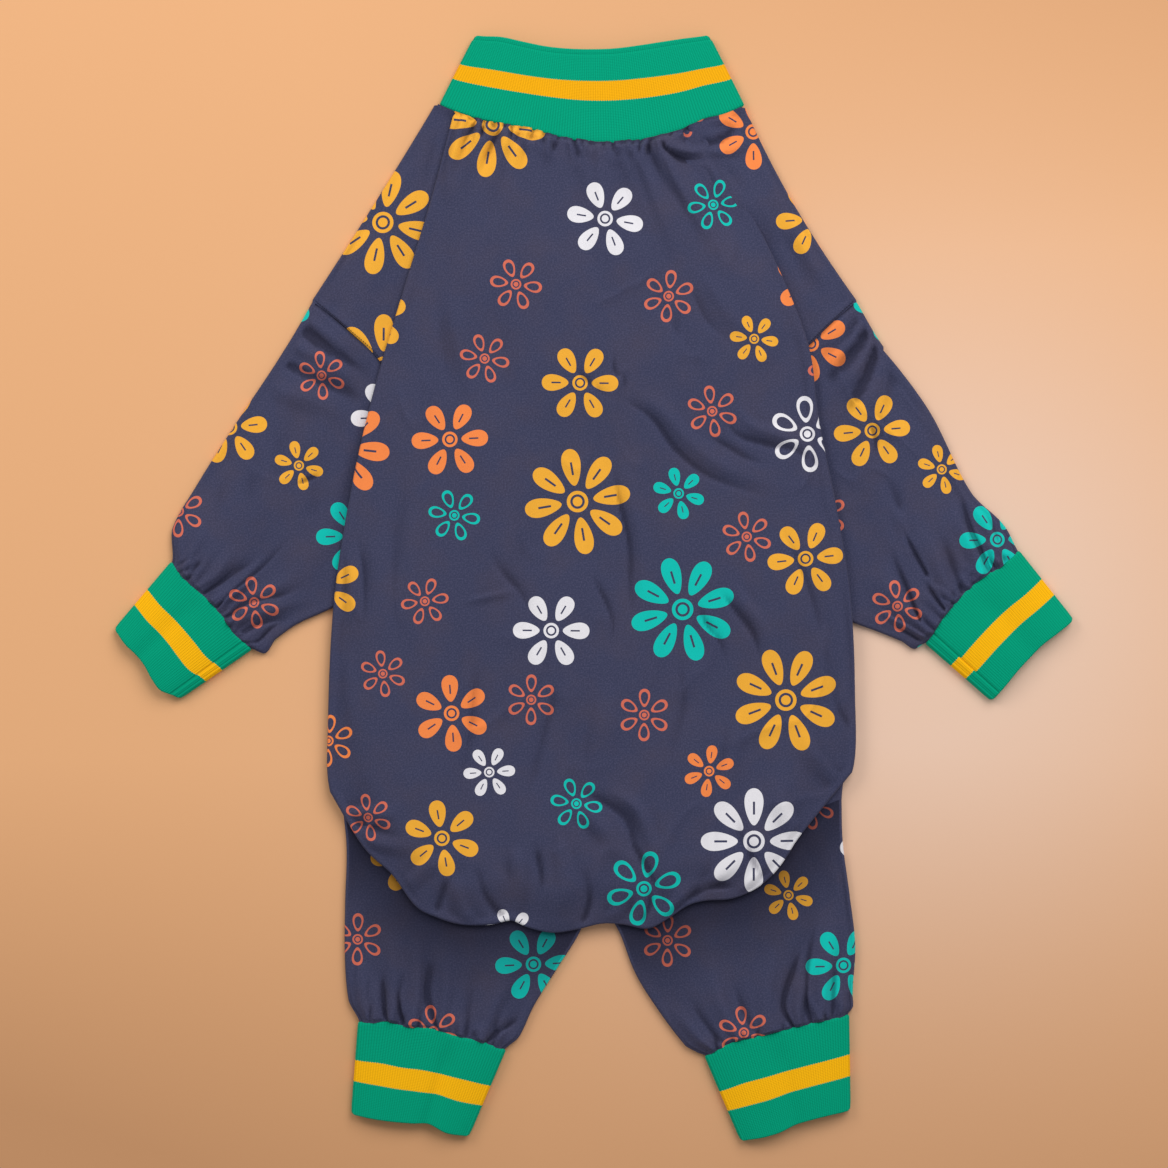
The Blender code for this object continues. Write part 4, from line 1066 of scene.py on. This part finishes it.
def belly_piece(material):
    """The ground side, with its sides turned up and in. The turns are left open along
    the armholes and over the hind legs."""
    left, right = belly_edge(SIDES["left"]), belly_edge(SIDES["right"])
    total = len(left)
    row = np.arange(total)
    bow = (1 - smooth(row / NECK_ROWS)) ** 2
    seat = np.clip((row - (total - SEAT_STEPS - 1)) / SEAT_STEPS, 0, 1)

    def row_y(x):
        share = (x - left[:, :1]) / (right[:, :1] - left[:, :1])
        at_neck = lerp(left[0, 0], right[0, 0], share)
        straight = lerp(neck_y(left[0, 0]), neck_y(right[0, 0]), share)
        level = lerp(left[:, 1:], right[:, 1:], share)
        level = level + bow[:, None] * (neck_y(at_neck) - straight)
        return lerp(level, seat_y(x), seat[:, None])

    x = lerp(left[:, :1], right[:, :1], np.linspace(0, 1, 70)[None])
    cloth = Cloth()
    ground = np.stack([x, row_y(x)], -1)
    floor = cloth.add(raised(ground, GROUND))
    cloth.join(floor, ground * np.array([-1.0, 1.0]) + BELLY_PRINT, DOWN)
    bent = np.ones(total, bool)
    bent[SHOULDER_STEPS + 1:SHOULDER_STEPS + ARMHOLE_STEPS - 1] = False
    bent[-SEAT_STEPS:] = False
    for name, end, column in (("left", left, 0), ("right", right, -1)):
        side = SIDES[name]
        sign = side["sign"]
        crest, tuck = fold_x(side, end[:, 1])
        inner = crest - sign * (tuck + FOLD_BEND)
        shown = sign * np.minimum(np.abs(crest), lerp(np.abs(end[:, 0]), np.abs(inner), 0.3))
        x = np.concatenate([
            lerp(end[:, :1], shown[:, None], np.linspace(0, 1, 36)[None]),
            lerp(shown[:, None], inner[:, None], np.linspace(0, 1, 7)[None, 1:]),
        ], 1)
        spots = np.stack([x, row_y(x)], -1)
        spots[0, 1:, 1] += NECK_TUCK
        height = strip_top("front_leg_" + name, spots)
        strip = cloth.add(raised(spots, height), hollows(height, 7))
        flat = spots + STRIP_PRINT * (2 - sign)
        cloth.join(strip, flat, UP)
        outward = np.tile([float(sign), 0.0], (total, 1))
        cloth.roll_under(
            strip[:, 0], floor[:, column], outward, flat[:, 0], EDGE_BEND,
            bent[:-1] & bent[1:],
        )
    dress(cloth.make("belly_panel_cloth", material), "belly_panel")


def strip_top(name, spots):
    """Heights of a turned-up side of the belly, eased to the collar's at the neck."""
    base, detail = lower_height(name, spots)
    below = np.maximum(neck_y(spots[..., 0]) - spots[..., 1], 0)
    seam = smooth(below / NECK_EASE)
    height = lerp(collar_top(spots[..., 0]) + 0.0004, base, seam)
    height = height + above_seam(detail * seam, below)
    height[:, 0] = lerp(RIB / 2 + 2 * RIB_BEND, LOWER_TOP, seam[:, 0])
    return height


# The ribs' pitch, the points across each, and how deep the rows between them lie
RIB_PITCH = 0.0017
RIB_SAMPLES = 6
RIB_DEPTH = 0.00022
# How deep a hem's line and a side seam's groove lie, and how high the ridge beside it is
HEM_DEPTH = 0.00035
GROOVE_DEPTH = 0.0008
SEAM_RIDGE = 0.0004
# How much the collar's stripe bows towards its sides, as a share of its height
STRIPE_BOW = 0.085
# Shares of the length at which a ribbed piece has its rows, from the seam to the mouth
RIB_SHARES = np.array(
    [-0.035, -0.012, 0.0, 0.012, 0.03] + list(np.linspace(0.06, 0.92, 17))
    + [0.935, 0.948, 0.955, 0.962, 0.975, 0.99, 1.0]
)
# The rows that its inside has again, from the mouth inward
INSIDE_ROWS = (-3, -6, -8, -11, -15, -20, 4)


def rib_loops(node, plan_at, crown_at, columns, bend_columns, dent):
    """The mid line of a ribbed tube's wall, once round for each row."""
    across = np.linspace(0, 1, columns)
    half_way, end = (plan_at(share, np.array([0.5]))[0] for share in (0.5, 1.0))
    ahead = sideways(unit(end - half_way))
    low = RIB / 2
    angles = math.pi * np.arange(1, bend_columns) / bend_columns
    up = low + RIB_BEND * (np.cos(angles) + 1)
    out = RIB_BEND * np.sin(angles)
    corner = RIB_BEND * (1 - np.sqrt(1 - (0.95 * np.sin(angles)) ** 2))
    flat_side = np.zeros(columns)
    corner = np.concatenate([flat_side, corner, flat_side, corner[::-1]])
    loops = []
    for share in RIB_SHARES:
        plan = plan_at(share, across)
        wave = 0.00035 * noise(plan[:, 0], plan[:, 1], 0.022, 45 + len(node))
        full = 1 - np.linspace(-1, 1, columns) ** 4
        if dent is not None:
            at, wide, deep = dent
            sunk = np.exp(-((across - at) / wide) ** 2)
            full = full - deep / CUFF_CROWN * sunk * smooth(share * 3)
        top = low + 2 * RIB_BEND + (crown_at(share) + wave * smooth(share * 4)) * full
        first = unit(plan[0] - plan[1])
        last = unit(plan[-1] - plan[-2])
        loop = np.concatenate([
            raised(plan, top),
            raised(plan[-1] + last * out[:, None], up),
            raised(plan[::-1], low),
            raised(plan[0] + first * out[::-1, None], up[::-1]),
        ])
        loops.append(loop - ahead * (corner * smooth((share - 0.9) / 0.1))[:, None])
    return np.stack(loops)


def rib_lip(loops, normal, ridge):
    """The mouth's rounded edge, and the rows of the inside behind it."""
    forward = unit(loops[-1] - loops[-2])
    rows = []
    for angle in np.linspace(0, math.pi, 7)[1:]:
        off = RIB / 2 * math.cos(angle) + (ridge - 1) * RIB_DEPTH * max(0.0, math.cos(angle))
        rows.append(loops[-1] + normal[-1] * off[:, None] + forward * (RIB / 2 * math.sin(angle)))
    return rows + [loops[i] - normal[i] * (RIB / 2) for i in INSIDE_ROWS]


def rib_piece(node, plan_at, crown_at, material, side_seam=None, hem=None, dent=None):
    """A ribbed tube. plan_at(share, across) gives its plan from the seam to the mouth,
    and crown_at(share) how far its middle stands above its edges. side_seam is where
    across a seam lies, with the step of the stripe there, hem is the share of the length
    at which a hem's line runs round, and dent is (where across, half width, how deep)."""
    middle = plan_at(0.5, np.linspace(0, 1, 50))
    width = np.linalg.norm(np.diff(middle, axis=0), axis=1).sum()
    columns = int(round(width / RIB_PITCH)) * RIB_SAMPLES + 1
    bend_columns = max(2, int(round(math.pi * RIB_BEND / RIB_PITCH))) * RIB_SAMPLES
    loops = rib_loops(node, plan_at, crown_at, columns, bend_columns, dent)
    count = loops.shape[1]
    around = np.roll(loops, -1, 1) - np.roll(loops, 1, 1)
    normal = unit(np.cross(np.gradient(loops, axis=0), around))
    if normal[:, columns // 2, 2].mean() < 0:
        normal = -normal
    span = np.concatenate([
        np.linspace(0, 1, columns), np.ones(bend_columns - 1),
        np.full(columns, 0.5), np.zeros(bend_columns - 1),
    ])
    ridge = np.abs(np.sin(math.pi * (np.arange(count) / RIB_SAMPLES))) ** 0.7
    shares = RIB_SHARES[:, None]
    tuck = smooth((shares + 0.012) / 0.03) * (RIB / 2) - smooth(-shares / 0.012) * 0.0016
    lifted = tuck + (ridge[None] - 1) * RIB_DEPTH
    if hem is not None:
        lifted = lifted - HEM_DEPTH * np.exp(-((shares - hem) / 0.007) ** 2)
    stripe_share = np.repeat(shares, count, 1)
    if side_seam is not None:
        at, step = side_seam
        away = (span - at) * width * (1 if at > 0.5 else -1)
        stripe_share[:, away > 0] += step
        lifted = lifted - GROOVE_DEPTH * np.exp(-(away / 0.0007) ** 2)[None]
        lifted = lifted + SEAM_RIDGE * np.exp(-((away - 0.0025) / 0.0016) ** 2)[None]
    if node == "collar":
        stripe_share = stripe_share + STRIPE_BOW * (2 * span[None] - 1) ** 2
    outer = loops + normal * lifted[..., None]
    outer[..., 2] = np.maximum(outer[..., 2], 0.0)
    lip = rib_lip(loops, normal, ridge)
    grid = np.concatenate([outer, np.stack(lip)])
    stripe_share = np.concatenate([stripe_share, np.repeat(stripe_share[-1:], len(lip), 0)])
    relief = np.repeat(ridge[None], len(grid), 0)
    grid, stripe_share, relief = (
        np.concatenate([values, values[:, :1]], 1) for values in (grid, stripe_share, relief)
    )
    cloth = Cloth()
    index = cloth.add(grid, share=stripe_share, ridge=relief)
    index[:, -1] = index[:, 0]
    steps = np.linalg.norm(np.diff(grid[:, columns // 2], axis=0), axis=1)
    far = np.concatenate([[0.0], np.cumsum(steps)])
    turn = np.arange(count + 1) / RIB_SAMPLES * RIB_PITCH
    flat = np.stack(np.broadcast_arrays(turn[None], far[:, None]), -1)
    cloth.join(index, flat, UP, columns / 2 / count)
    dress(cloth.make(node + "_knit", material), node)


def cuff_piece(leg_name, material, mouth, side_seam, dent):
    leg = LEGS[leg_name]
    sign = SIDES[leg["side"]]["sign"]
    start, _, _ = cuff_seam(leg_name)
    outward = heading(leg["square"] + sign * 90) * -sign
    forward = heading(leg["axis"])
    if sign > 0:
        mouth = mouth[::-1]
    mouth = np.array(mouth) / 1e3

    def plan_at(share, across):
        stray = curve(mouth, across * (len(mouth) - 1)) * smooth(share) * share
        stray = stray - seam_bow(leg_name, across if sign < 0 else 1 - across) * (1 - share) ** 2
        middle = start + forward * (leg["cuff"] * share + stray)[:, None]
        half = lerp(leg["wrist"], leg["mouth"], share) / 2 - RIB_BEND
        return middle + outward * ((2 * across - 1) * half)[:, None]

    node = leg_name.replace("leg", "cuff")
    rib_piece(node, plan_at, lambda share: CUFF_CROWN, material, side_seam, dent=dent)


def collar_piece(material):
    mouth = np.array([0.0, 2.4, 1.6, 0.4, 0.0, 0.0, 0.2, 0.9, 1.4, 1.2, 0.0]) / 1e3

    def plan_at(share, across):
        half = lerp(NECK_WIDTH, COLLAR_MOUTH, share) / 2 - RIB_BEND
        dip = lerp(NECK_SAG, COLLAR_DIP, share)
        spread = 2 * across - 1
        y = NECK_Y + NECK_SAG + COLLAR_RISE * share - dip * (1 - spread ** 2)
        y = y + curve(mouth, across * 10) * smooth(share) * share
        y = y + neck_lift(spread * half) * max(0.0, 1 - share) ** 2
        return np.stack([spread * half, y], 1)

    def crown_at(share):
        return lerp(NECK_CROWN, COLLAR_CROWN, share)

    rib_piece("collar", plan_at, crown_at, material, hem=0.955)


# The seam stitches' pitch, length and half thickness
STITCH_PITCH = 0.0019
STITCH_LENGTH = 0.0013
STITCH_THICK = 0.00022


def seam_stitches(leg_name, material):
    """A row of stitches on the body side of a shoulder seam, where it shows."""
    side = SIDES[LEGS[leg_name]["side"]]
    line = armhole(side, np.linspace(0.01, 0.99, 400))
    line = line - np.array([side["sign"] * 0.0006, -0.0013])
    length = np.linalg.norm(np.diff(line, axis=0), axis=1).sum()
    line = evenly(line, int(length / STITCH_PITCH))
    shown = ~inside(line, FOLD_LOOP) & (distance(line, FOLD_LOOP) > 0.0025)
    way = unit(np.gradient(line, axis=0))
    height = sum(lower_height(leg_name, line))
    slope = np.gradient(height)
    ring = np.linspace(0, 2 * math.pi, 9)
    bead = np.linspace(0, math.pi, 6)
    along = (STITCH_LENGTH / 2 * np.cos(bead))[:, None, None]
    wide = (STITCH_THICK * np.sin(bead)[:, None] * np.cos(ring)[None])[..., None]
    tall = (STITCH_THICK * np.sin(bead)[:, None] * np.sin(ring)[None])[..., None]
    cloth = Cloth()
    for i in shown.nonzero()[0]:
        forward = unit(np.array([way[i, 0], way[i, 1], slope[i] / STITCH_PITCH]))
        across = unit(np.array([-way[i, 1], way[i, 0], 0.0]))
        up = np.cross(forward, across)
        centre = raised(line[i], height[i] + STITCH_THICK * 0.6)
        grid = centre + forward * along + across * wide + up * tall
        cloth.join(cloth.add(grid), np.zeros(grid.shape[:2] + (2,)), up, 0.25)
    piece = cloth.make(leg_name + "_seam_stitches", material)
    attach(piece, "root")


# Materials

def linear(red, green, blue):
    """A colour seen in the photograph, from 0 to 255, as the shader wants it."""
    shares = [part / 255 for part in (red, green, blue)]
    bent = [c / 12.92 if c <= 0.04045 else ((c + 0.055) / 1.055) ** 2.4 for c in shares]
    return tuple(bent) + (1.0,)


def shaded(colour, share):
    return tuple(part * share for part in colour[:3]) + (1.0,)


def fill(tree, socket, value):
    """Sets a shader socket to a number or a colour, or links another socket to it."""
    if isinstance(value, Num):
        value = value.socket
    if isinstance(value, bpy.types.NodeSocket):
        tree.links.new(value, socket)
    else:
        socket.default_value = value


def add_node(tree, kind, inputs, **settings):
    """A new shader node with its settings and its inputs, by their names or numbers."""
    node = tree.nodes.new(kind)
    for key, value in settings.items():
        setattr(node, key, value)
    for key, value in inputs.items():
        fill(tree, node.inputs[key], value)
    return node


class Num:
    """A number in a material's node tree, so that a pattern reads as arithmetic."""

    def __init__(self, tree, socket):
        self.tree = tree
        self.socket = socket

    def use(self, operation, *others):
        values = dict(enumerate((self,) + others))
        node = add_node(self.tree, "ShaderNodeMath", values, operation=operation)
        return Num(self.tree, node.outputs[0])

    def __add__(self, other):
        return self.use("ADD", other)

    def __sub__(self, other):
        return self.use("SUBTRACT", other)

    def __mul__(self, other):
        return self.use("MULTIPLY", other)

    def __truediv__(self, other):
        return self.use("DIVIDE", other)

    def __neg__(self):
        return self * -1.0

    def below(self, other):
        return self.use("LESS_THAN", other)

    def above(self, other):
        return self.use("GREATER_THAN", other)

    def at_least(self, other):
        return self.use("MAXIMUM", other)

    def rest(self):
        """What it lacks of 1."""
        return -self + 1.0

    def held(self):
        """The number held between 0 and 1."""
        return self.use("MINIMUM", 1.0).at_least(0.0)

    def wave(self, pitch):
        """A wave from -1 to 1 that comes round once each pitch."""
        return (self * (2 * math.pi / pitch)).use("SINE")


def new_material(name, roughness, specular=0.16):
    made = bpy.data.materials.new(name)
    made.use_nodes = True
    tree = made.node_tree
    shader = tree.nodes["Principled BSDF"]
    fill(tree, shader.inputs["Roughness"], roughness)
    fill(tree, shader.inputs["Specular IOR Level"], specular)
    return made, tree, shader


def sheen(tree, shader, weight, roughness, tint=(1.0, 1.0, 1.0, 1.0)):
    fill(tree, shader.inputs["Sheen Weight"], weight)
    fill(tree, shader.inputs["Sheen Roughness"], roughness)
    fill(tree, shader.inputs["Sheen Tint"], tint)


def surface(tree, shader, colour, height, strength, depth):
    """Gives a shader its colour, and a fine relief from a height."""
    inputs = {"Strength": strength, "Distance": depth, "Height": height}
    bump = add_node(tree, "ShaderNodeBump", inputs)
    fill(tree, shader.inputs["Base Color"], colour)
    fill(tree, shader.inputs["Normal"], bump.outputs[0])


def split(tree, vector):
    node = add_node(tree, "ShaderNodeSeparateXYZ", {0: vector})
    return [Num(tree, socket) for socket in node.outputs]


def cloth_place(tree):
    """The place on the flat cloth, whole and as two numbers."""
    place = add_node(tree, "ShaderNodeUVMap", {}, uv_map="cloth").outputs[0]
    u, v, _ = split(tree, place)
    return place, u, v


def room_place(tree):
    """The place in the scene, whole and as three numbers."""
    place = add_node(tree, "ShaderNodeTexCoord", {}).outputs["Object"]
    return [place] + split(tree, place)


def attribute(tree, key):
    """A number kept at each point of a mesh."""
    node = add_node(tree, "ShaderNodeAttribute", {}, attribute_name=key)
    return Num(tree, node.outputs["Fac"])


def grain(tree, place, scale, detail):
    inputs = {"Scale": scale, "Detail": detail, "Vector": place}
    return Num(tree, add_node(tree, "ShaderNodeTexNoise", inputs).outputs[0])


def randoms(tree, column, row, seed):
    """Three even random numbers for each cell."""
    where = add_node(tree, "ShaderNodeCombineXYZ", {0: column, 1: row, 2: seed}).outputs[0]
    node = add_node(tree, "ShaderNodeTexWhiteNoise", {"Vector": where}, noise_dimensions="3D")
    return split(tree, node.outputs["Color"])


def choice(tree, amount, colours):
    """One of some colours, for a number from 0 to 1."""
    node = add_node(tree, "ShaderNodeValToRGB", {0: amount})
    ramp = node.color_ramp
    ramp.interpolation = "CONSTANT"
    while len(ramp.elements) < len(colours):
        ramp.elements.new(0.5)
    for element, (place, colour) in zip(ramp.elements, colours):
        element.position = place
        element.color = colour
    return node.outputs[0]


def mix(tree, factor, first, second, how="MIX"):
    """Two colours mixed by a factor. how can be MULTIPLY, which darkens the first."""
    inputs = {"Factor": factor, 6: first, 7: second}
    return add_node(tree, "ShaderNodeMix", inputs, data_type="RGBA", blend_type=how).outputs[2]


def daisy(x, y, radius, petals, thick, turn, hollow):
    """Where the colour of one plain daisy lies: petals with a vein or an open middle,
    round a ring."""
    far = (x * x + y * y).use("SQRT") / radius
    bearing = y.use("ARCTAN2", x) + turn * (2 * math.pi)
    half = petals.use("POWER", -1.0) * math.pi
    sector = bearing.use("WRAP", half, -half)
    along = far * sector.use("COSINE")
    aside = far * sector.use("SINE")
    reach = (along - 0.645) / 0.345
    spread = aside / (thick * (along * 0.9 + 0.42))
    oval = reach * reach + spread * spread
    vein = aside.use("ABSOLUTE").below(0.020) * along.above(0.50) * along.below(0.74)
    open_middle = oval.below(0.44) * hollow
    cut = open_middle.at_least(vein * hollow.rest())
    petal = oval.below(1.0) * cut.rest()
    ring = far.below(0.135) * far.above(0.09)
    return petal.at_least(far.below(0.20) * ring.rest())


# The print: the side of its cells, their angle, its seed and its smallest daisy
PRINT_CELL = 0.0905
PRINT_ANGLE = 0.36
PRINT_SEED = 3.0
SMALL = 0.0185


def daisies(tree, u, v):
    """A scatter of daisies on a turned grid, one to a cell and often a small one beside
    it: (where the first is, its colour number, its size number, where the small one is,
    its colour number)."""
    cell = PRINT_CELL
    c, s = math.cos(PRINT_ANGLE), math.sin(PRINT_ANGLE)
    q = v * c - u * s
    row = (q / cell).use("FLOOR")
    p = u * c + v * s + (row * 0.5).use("FRACT") * cell
    column = (p / cell).use("FLOOR")
    shift, slide, turn = randoms(tree, column, row, PRINT_SEED)
    size, tint, kind = randoms(tree, column, row, PRINT_SEED + 1.0)
    beside, second_tint, second_kind = randoms(tree, column, row, PRINT_SEED + 2.0)
    x = p - (column + 0.5) * cell
    y = q - (row + 0.5) * cell
    big = size.above(0.80)
    small = size.below(0.34)
    radius = size.above(0.34) * 0.0085 + big * 0.0105 + SMALL
    slack = radius * -2.0 + cell
    to_x = (shift - 0.5) * slack
    to_y = (slide - 0.5) * slack
    coral = small * tint.below(0.34)
    hollow = kind.below(small * 0.35 + 0.10).at_least(coral) * big.rest()
    petals = big * 2.0 + 6.0
    thick = big * -0.035 + 0.205
    first = daisy(x - to_x, y - to_y, radius, petals, thick, turn, hollow)
    corner = cell / 2 - SMALL
    from_x = to_x.use("SIGN") * -corner
    from_y = to_y.use("SIGN") * -corner
    gap_x = from_x - to_x
    gap_y = from_y - to_y
    room = (gap_x * gap_x + gap_y * gap_y).use("SQRT") - radius
    there = room.above(SMALL * 0.9) * beside.below(0.72)
    radius = second_kind * 0.002 + (SMALL - 0.002)
    petals = second_kind * 0.0 + 6.0
    thick = second_kind * 0.0 + 0.20
    hollow = second_kind.below(0.30).at_least(second_tint.below(0.42))
    second = daisy(x - from_x, y - from_y, radius, petals, thick, kind, hollow) * there
    return first, tint, size, second, second_tint


NAVY = linear(55, 60, 90)
NAVY_WORN = linear(64, 63, 87)
NAVY_NAP = linear(90, 92, 124)
# The colour that multiplies the navy where shade is painted into it
NAVY_PAINTED_SHADE = (0.20, 0.19, 0.24, 1.0)
SHEEN_TINT = linear(205, 200, 225)
TEAL = linear(3, 196, 188)
ORANGE = linear(246, 140, 76)
AMBER = linear(240, 176, 58)
WHITE = linear(231, 234, 245)
CORAL = linear(214, 112, 92)
GREEN = linear(0, 162, 128)
STRIPE = linear(242, 177, 18)
CUFF_STRIPE = linear(252, 190, 18)
THREAD_DARK = linear(20, 20, 30)
THREAD_LIGHT = linear(38, 38, 54)
PEACH = linear(228, 176, 130)
PEACH_PAINTED_HIGHLIGHT = linear(232, 202, 183)
PEACH_PAINTED_SHADE = linear(94, 42, 16)

# The pitch of the jersey's stitches across and along, of the rib's rows of stitches and of
# the twist of the thread
KNIT_WIDTH = 0.00075
KNIT_HEIGHT = 0.0006
RIB_ROW = 0.0011
TWIST = 0.0006

# The lowest number that has each colour, for large, small and second daisies
BOLD = [(0.0, WHITE), (0.27, AMBER), (0.55, TEAL), (0.80, ORANGE)]
USUAL = [(0.0, CORAL), (0.34, ORANGE), (0.52, WHITE), (0.68, AMBER), (0.85, TEAL)]
SLIGHT = [(0.0, CORAL), (0.42, WHITE), (0.60, ORANGE), (0.80, AMBER), (0.93, TEAL)]


def jersey(name, print_shift):
    """Printed navy jersey: the print, fine knit stitches, a soft nap, and shade painted into its
    colour in the hollows of its folds and under the rump's edge.
    """
    made, tree, shader = new_material(name, roughness=0.82)
    place, u, v = cloth_place(tree)
    u = u + print_shift[0]
    v = v + print_shift[1]
    first, tint, size, second, second_tint = daisies(tree, u, v)
    bold = mix(tree, size.below(0.34), choice(tree, tint, BOLD), choice(tree, tint, USUAL))
    mottle = grain(tree, place, scale=900.0, detail=3.0)
    cloud = grain(tree, place, scale=34.0, detail=4.0)
    warmth = ((cloud - 0.44) * 3.0).held()
    speckle = ((mottle - 0.42) * 3.0).held() * 0.5
    base = mix(tree, speckle, mix(tree, warmth, NAVY, NAVY_WORN), NAVY_NAP)
    base = mix(tree, second, base, choice(tree, second_tint, SLIGHT))
    base = mix(tree, first, base, bold)
    # Painted shade: the navy is darkened in the narrow hollows of the folds and, on the hind
    # legs, under the rump's edge.
    base = mix(tree, attribute(tree, "hollow") * 0.62, base, NAVY_PAINTED_SHADE, "MULTIPLY")
    course = (v * (2 * math.pi / KNIT_HEIGHT) + u.wave(2 * KNIT_WIDTH)).use("SINE")
    height = u.wave(KNIT_WIDTH) * 0.5 + course * 0.35 + mottle * 1.4
    surface(tree, shader, base, height, strength=0.55, depth=0.00016)
    sheen(tree, shader, weight=0.16, roughness=0.45, tint=SHEEN_TINT)
    return made


def rib_knit(name, low, high, stripe):
    """Green rib knit with an amber stripe between two shares of its height, and shade painted
    into the rows between its ribs.
    """
    made, tree, shader = new_material(name, roughness=0.80, specular=0.05)
    place, _, v = cloth_place(tree)
    ridge = attribute(tree, "ridge")
    share = attribute(tree, "share") + (ridge - 0.5) * 0.010
    # Painted shade: the rows between the ribs are darker than the ribs' crests.
    shade = ridge * 0.55 + 0.45
    green = mix(tree, shade, shaded(GREEN, 0.58), GREEN)
    amber = mix(tree, shade, shaded(stripe, 0.66), stripe)
    base = mix(tree, share.above(low) * share.below(high), green, amber)
    height = v.wave(RIB_ROW) * 0.5 + grain(tree, place, scale=1400.0, detail=2.0)
    surface(tree, shader, base, height, strength=0.5, depth=0.0002)
    sheen(tree, shader, weight=0.02, roughness=0.5)
    return made


def thread_material():
    """Dark sewing thread, with twisted strands."""
    made, tree, shader = new_material("dark_thread", roughness=0.7)
    _, x, y, z = room_place(tree)
    twist = (x + y * 0.7 + z).wave(TWIST) * 0.5 + 0.5
    base = mix(tree, twist, THREAD_DARK, THREAD_LIGHT)
    surface(tree, shader, base, twist, strength=0.4, depth=0.0001)
    return made


def floor_material():
    """Peach paper, with a painted highlight as a paler patch at the right, and painted shade that
    dims the lower edge and a corner.
    """
    made, tree, shader = new_material("peach_paper", roughness=0.75)
    place, x, y, _ = room_place(tree)
    # Painted highlight: a paler patch at the right.
    aside = (x - 0.22) / 0.26
    ahead = (y + 0.02) / 0.24
    painted_highlight = (-(aside * aside + ahead * ahead)).use("EXPONENT") * 1.15
    base = mix(tree, painted_highlight.use("MINIMUM", 1.0), PEACH, PEACH_PAINTED_HIGHLIGHT)
    # Painted shade: darker towards the lower edge, more so at the left, and in the top right
    # corner, fading out far from the middle.
    low = (-y - 0.12).at_least(0.0) * (x * -1.50 + 0.70).at_least(0.76)
    high = (y - 0.24).at_least(0.0) * (x + 0.2).at_least(0.0) * 1.6
    away = x.use("ABSOLUTE").at_least(y.use("ABSOLUTE"))
    near = ((-away + 0.80) / 0.36).held()
    painted_shade = (low + high).use("MINIMUM", 0.32) * near
    base = mix(tree, painted_shade, base, PEACH_PAINTED_SHADE)
    fibre = grain(tree, place, scale=260.0, detail=5.0)
    surface(tree, shader, base, fibre, strength=0.12, depth=0.0003)
    return made


# The pieces

# Each leg whose cuff it is, how far the mouth's edge strays outward in millimetres at even
# steps from its inner side to its outer one, where across a side seam lies with the step
# of the stripe there, and a dent: where across, half width, how deep
CUFF_SHAPES = [
    ("front_leg_left", (0.0, 4.4, 3.5, 1.0, 0.4, 1.0, 0.0), (0.06, 0.01), (0.62, 0.10, 0.0012)),
    ("front_leg_right", (0.0, -1.0, -2.4, -2.9, -3.0, -1.4, 0.0), (0.935, 0.03),
     (0.45, 0.12, 0.0012)),
    ("hind_leg_left", (0.0, 0.0, -3.7, -2.0, -0.7, 0.0, 0.0), None, (0.36, 0.06, 0.0020)),
    ("hind_leg_right", (0.0, 1.1, 1.0, -1.1, -1.4, -0.9, 0.0), None, (0.50, 0.08, 0.0012)),
]

body_cloth = jersey("navy_print_body", (0.013, 0.031))
limb_cloth = jersey("navy_print_limbs", (0.52, 0.27))
back_piece(body_cloth, rows=360, columns=232)
belly_piece(limb_cloth)
for leg_name in LEGS:
    if leg_name.startswith("front"):
        leg_piece(leg_name, limb_cloth, rows=130, columns=180)
    else:
        leg_piece(leg_name, limb_cloth, rows=120, columns=140)
collar_piece(rib_knit("green_collar_knit", 0.462, 0.672, STRIPE))
cuff_knit = rib_knit("green_cuff_knit", 0.42, 0.65, CUFF_STRIPE)
for leg_name, mouth, side_seam, dent in CUFF_SHAPES:
    cuff_piece(leg_name, cuff_knit, mouth, side_seam, dent)
thread = thread_material()
seam_stitches("front_leg_left", thread)
seam_stitches("front_leg_right", thread)

# Floor, light and camera

bpy.ops.mesh.primitive_plane_add(size=6.0, location=(0, 0, 0))
floor = bpy.context.object
floor.name = "floor"
floor.data.materials.append(floor_material())


def area_light(name, place, aim, size, power, colour):
    data = bpy.data.lights.new(name, "AREA")
    data.shape = "DISK"
    data.size = size
    data.energy = power
    data.color = colour
    lamp = in_scene(name, data)
    lamp.location = place
    way = np.array(aim) - np.array(place)
    lamp.rotation_euler = (
        math.acos(-way[2] / np.linalg.norm(way)), 0, math.atan2(way[1], way[0]) - math.pi / 2,
    )


area_light("key", (0.90, 1.60, 2.00), (0, 0.05, 0), 2.20, 51, (1.0, 0.94, 0.88))
area_light("side", (-1.70, 1.30, 1.60), (0, 0, 0), 1.3, 21.5, (1.0, 0.92, 0.82))
world = bpy.data.worlds.new("studio")
bpy.context.scene.world = world
world.use_nodes = True
background = world.node_tree.nodes["Background"].inputs
background["Color"].default_value = (1.0, 0.97, 0.95, 1.0)
background["Strength"].default_value = 0.39

CAMERA_HEIGHT = 2.6
SUBJECT_HEIGHT = 0.010
camera = in_scene("camera", bpy.data.cameras.new("camera"))
camera.location = (*at_pixel(IMAGE_PIXELS / 2, IMAGE_PIXELS / 2), CAMERA_HEIGHT)
camera.data.lens = (
    camera.data.sensor_width * (CAMERA_HEIGHT - SUBJECT_HEIGHT)
    / (IMAGE_PIXELS * METRES_PER_PIXEL)
)
bpy.context.scene.camera = camera
bpy.context.scene.view_settings.view_transform = "Standard"
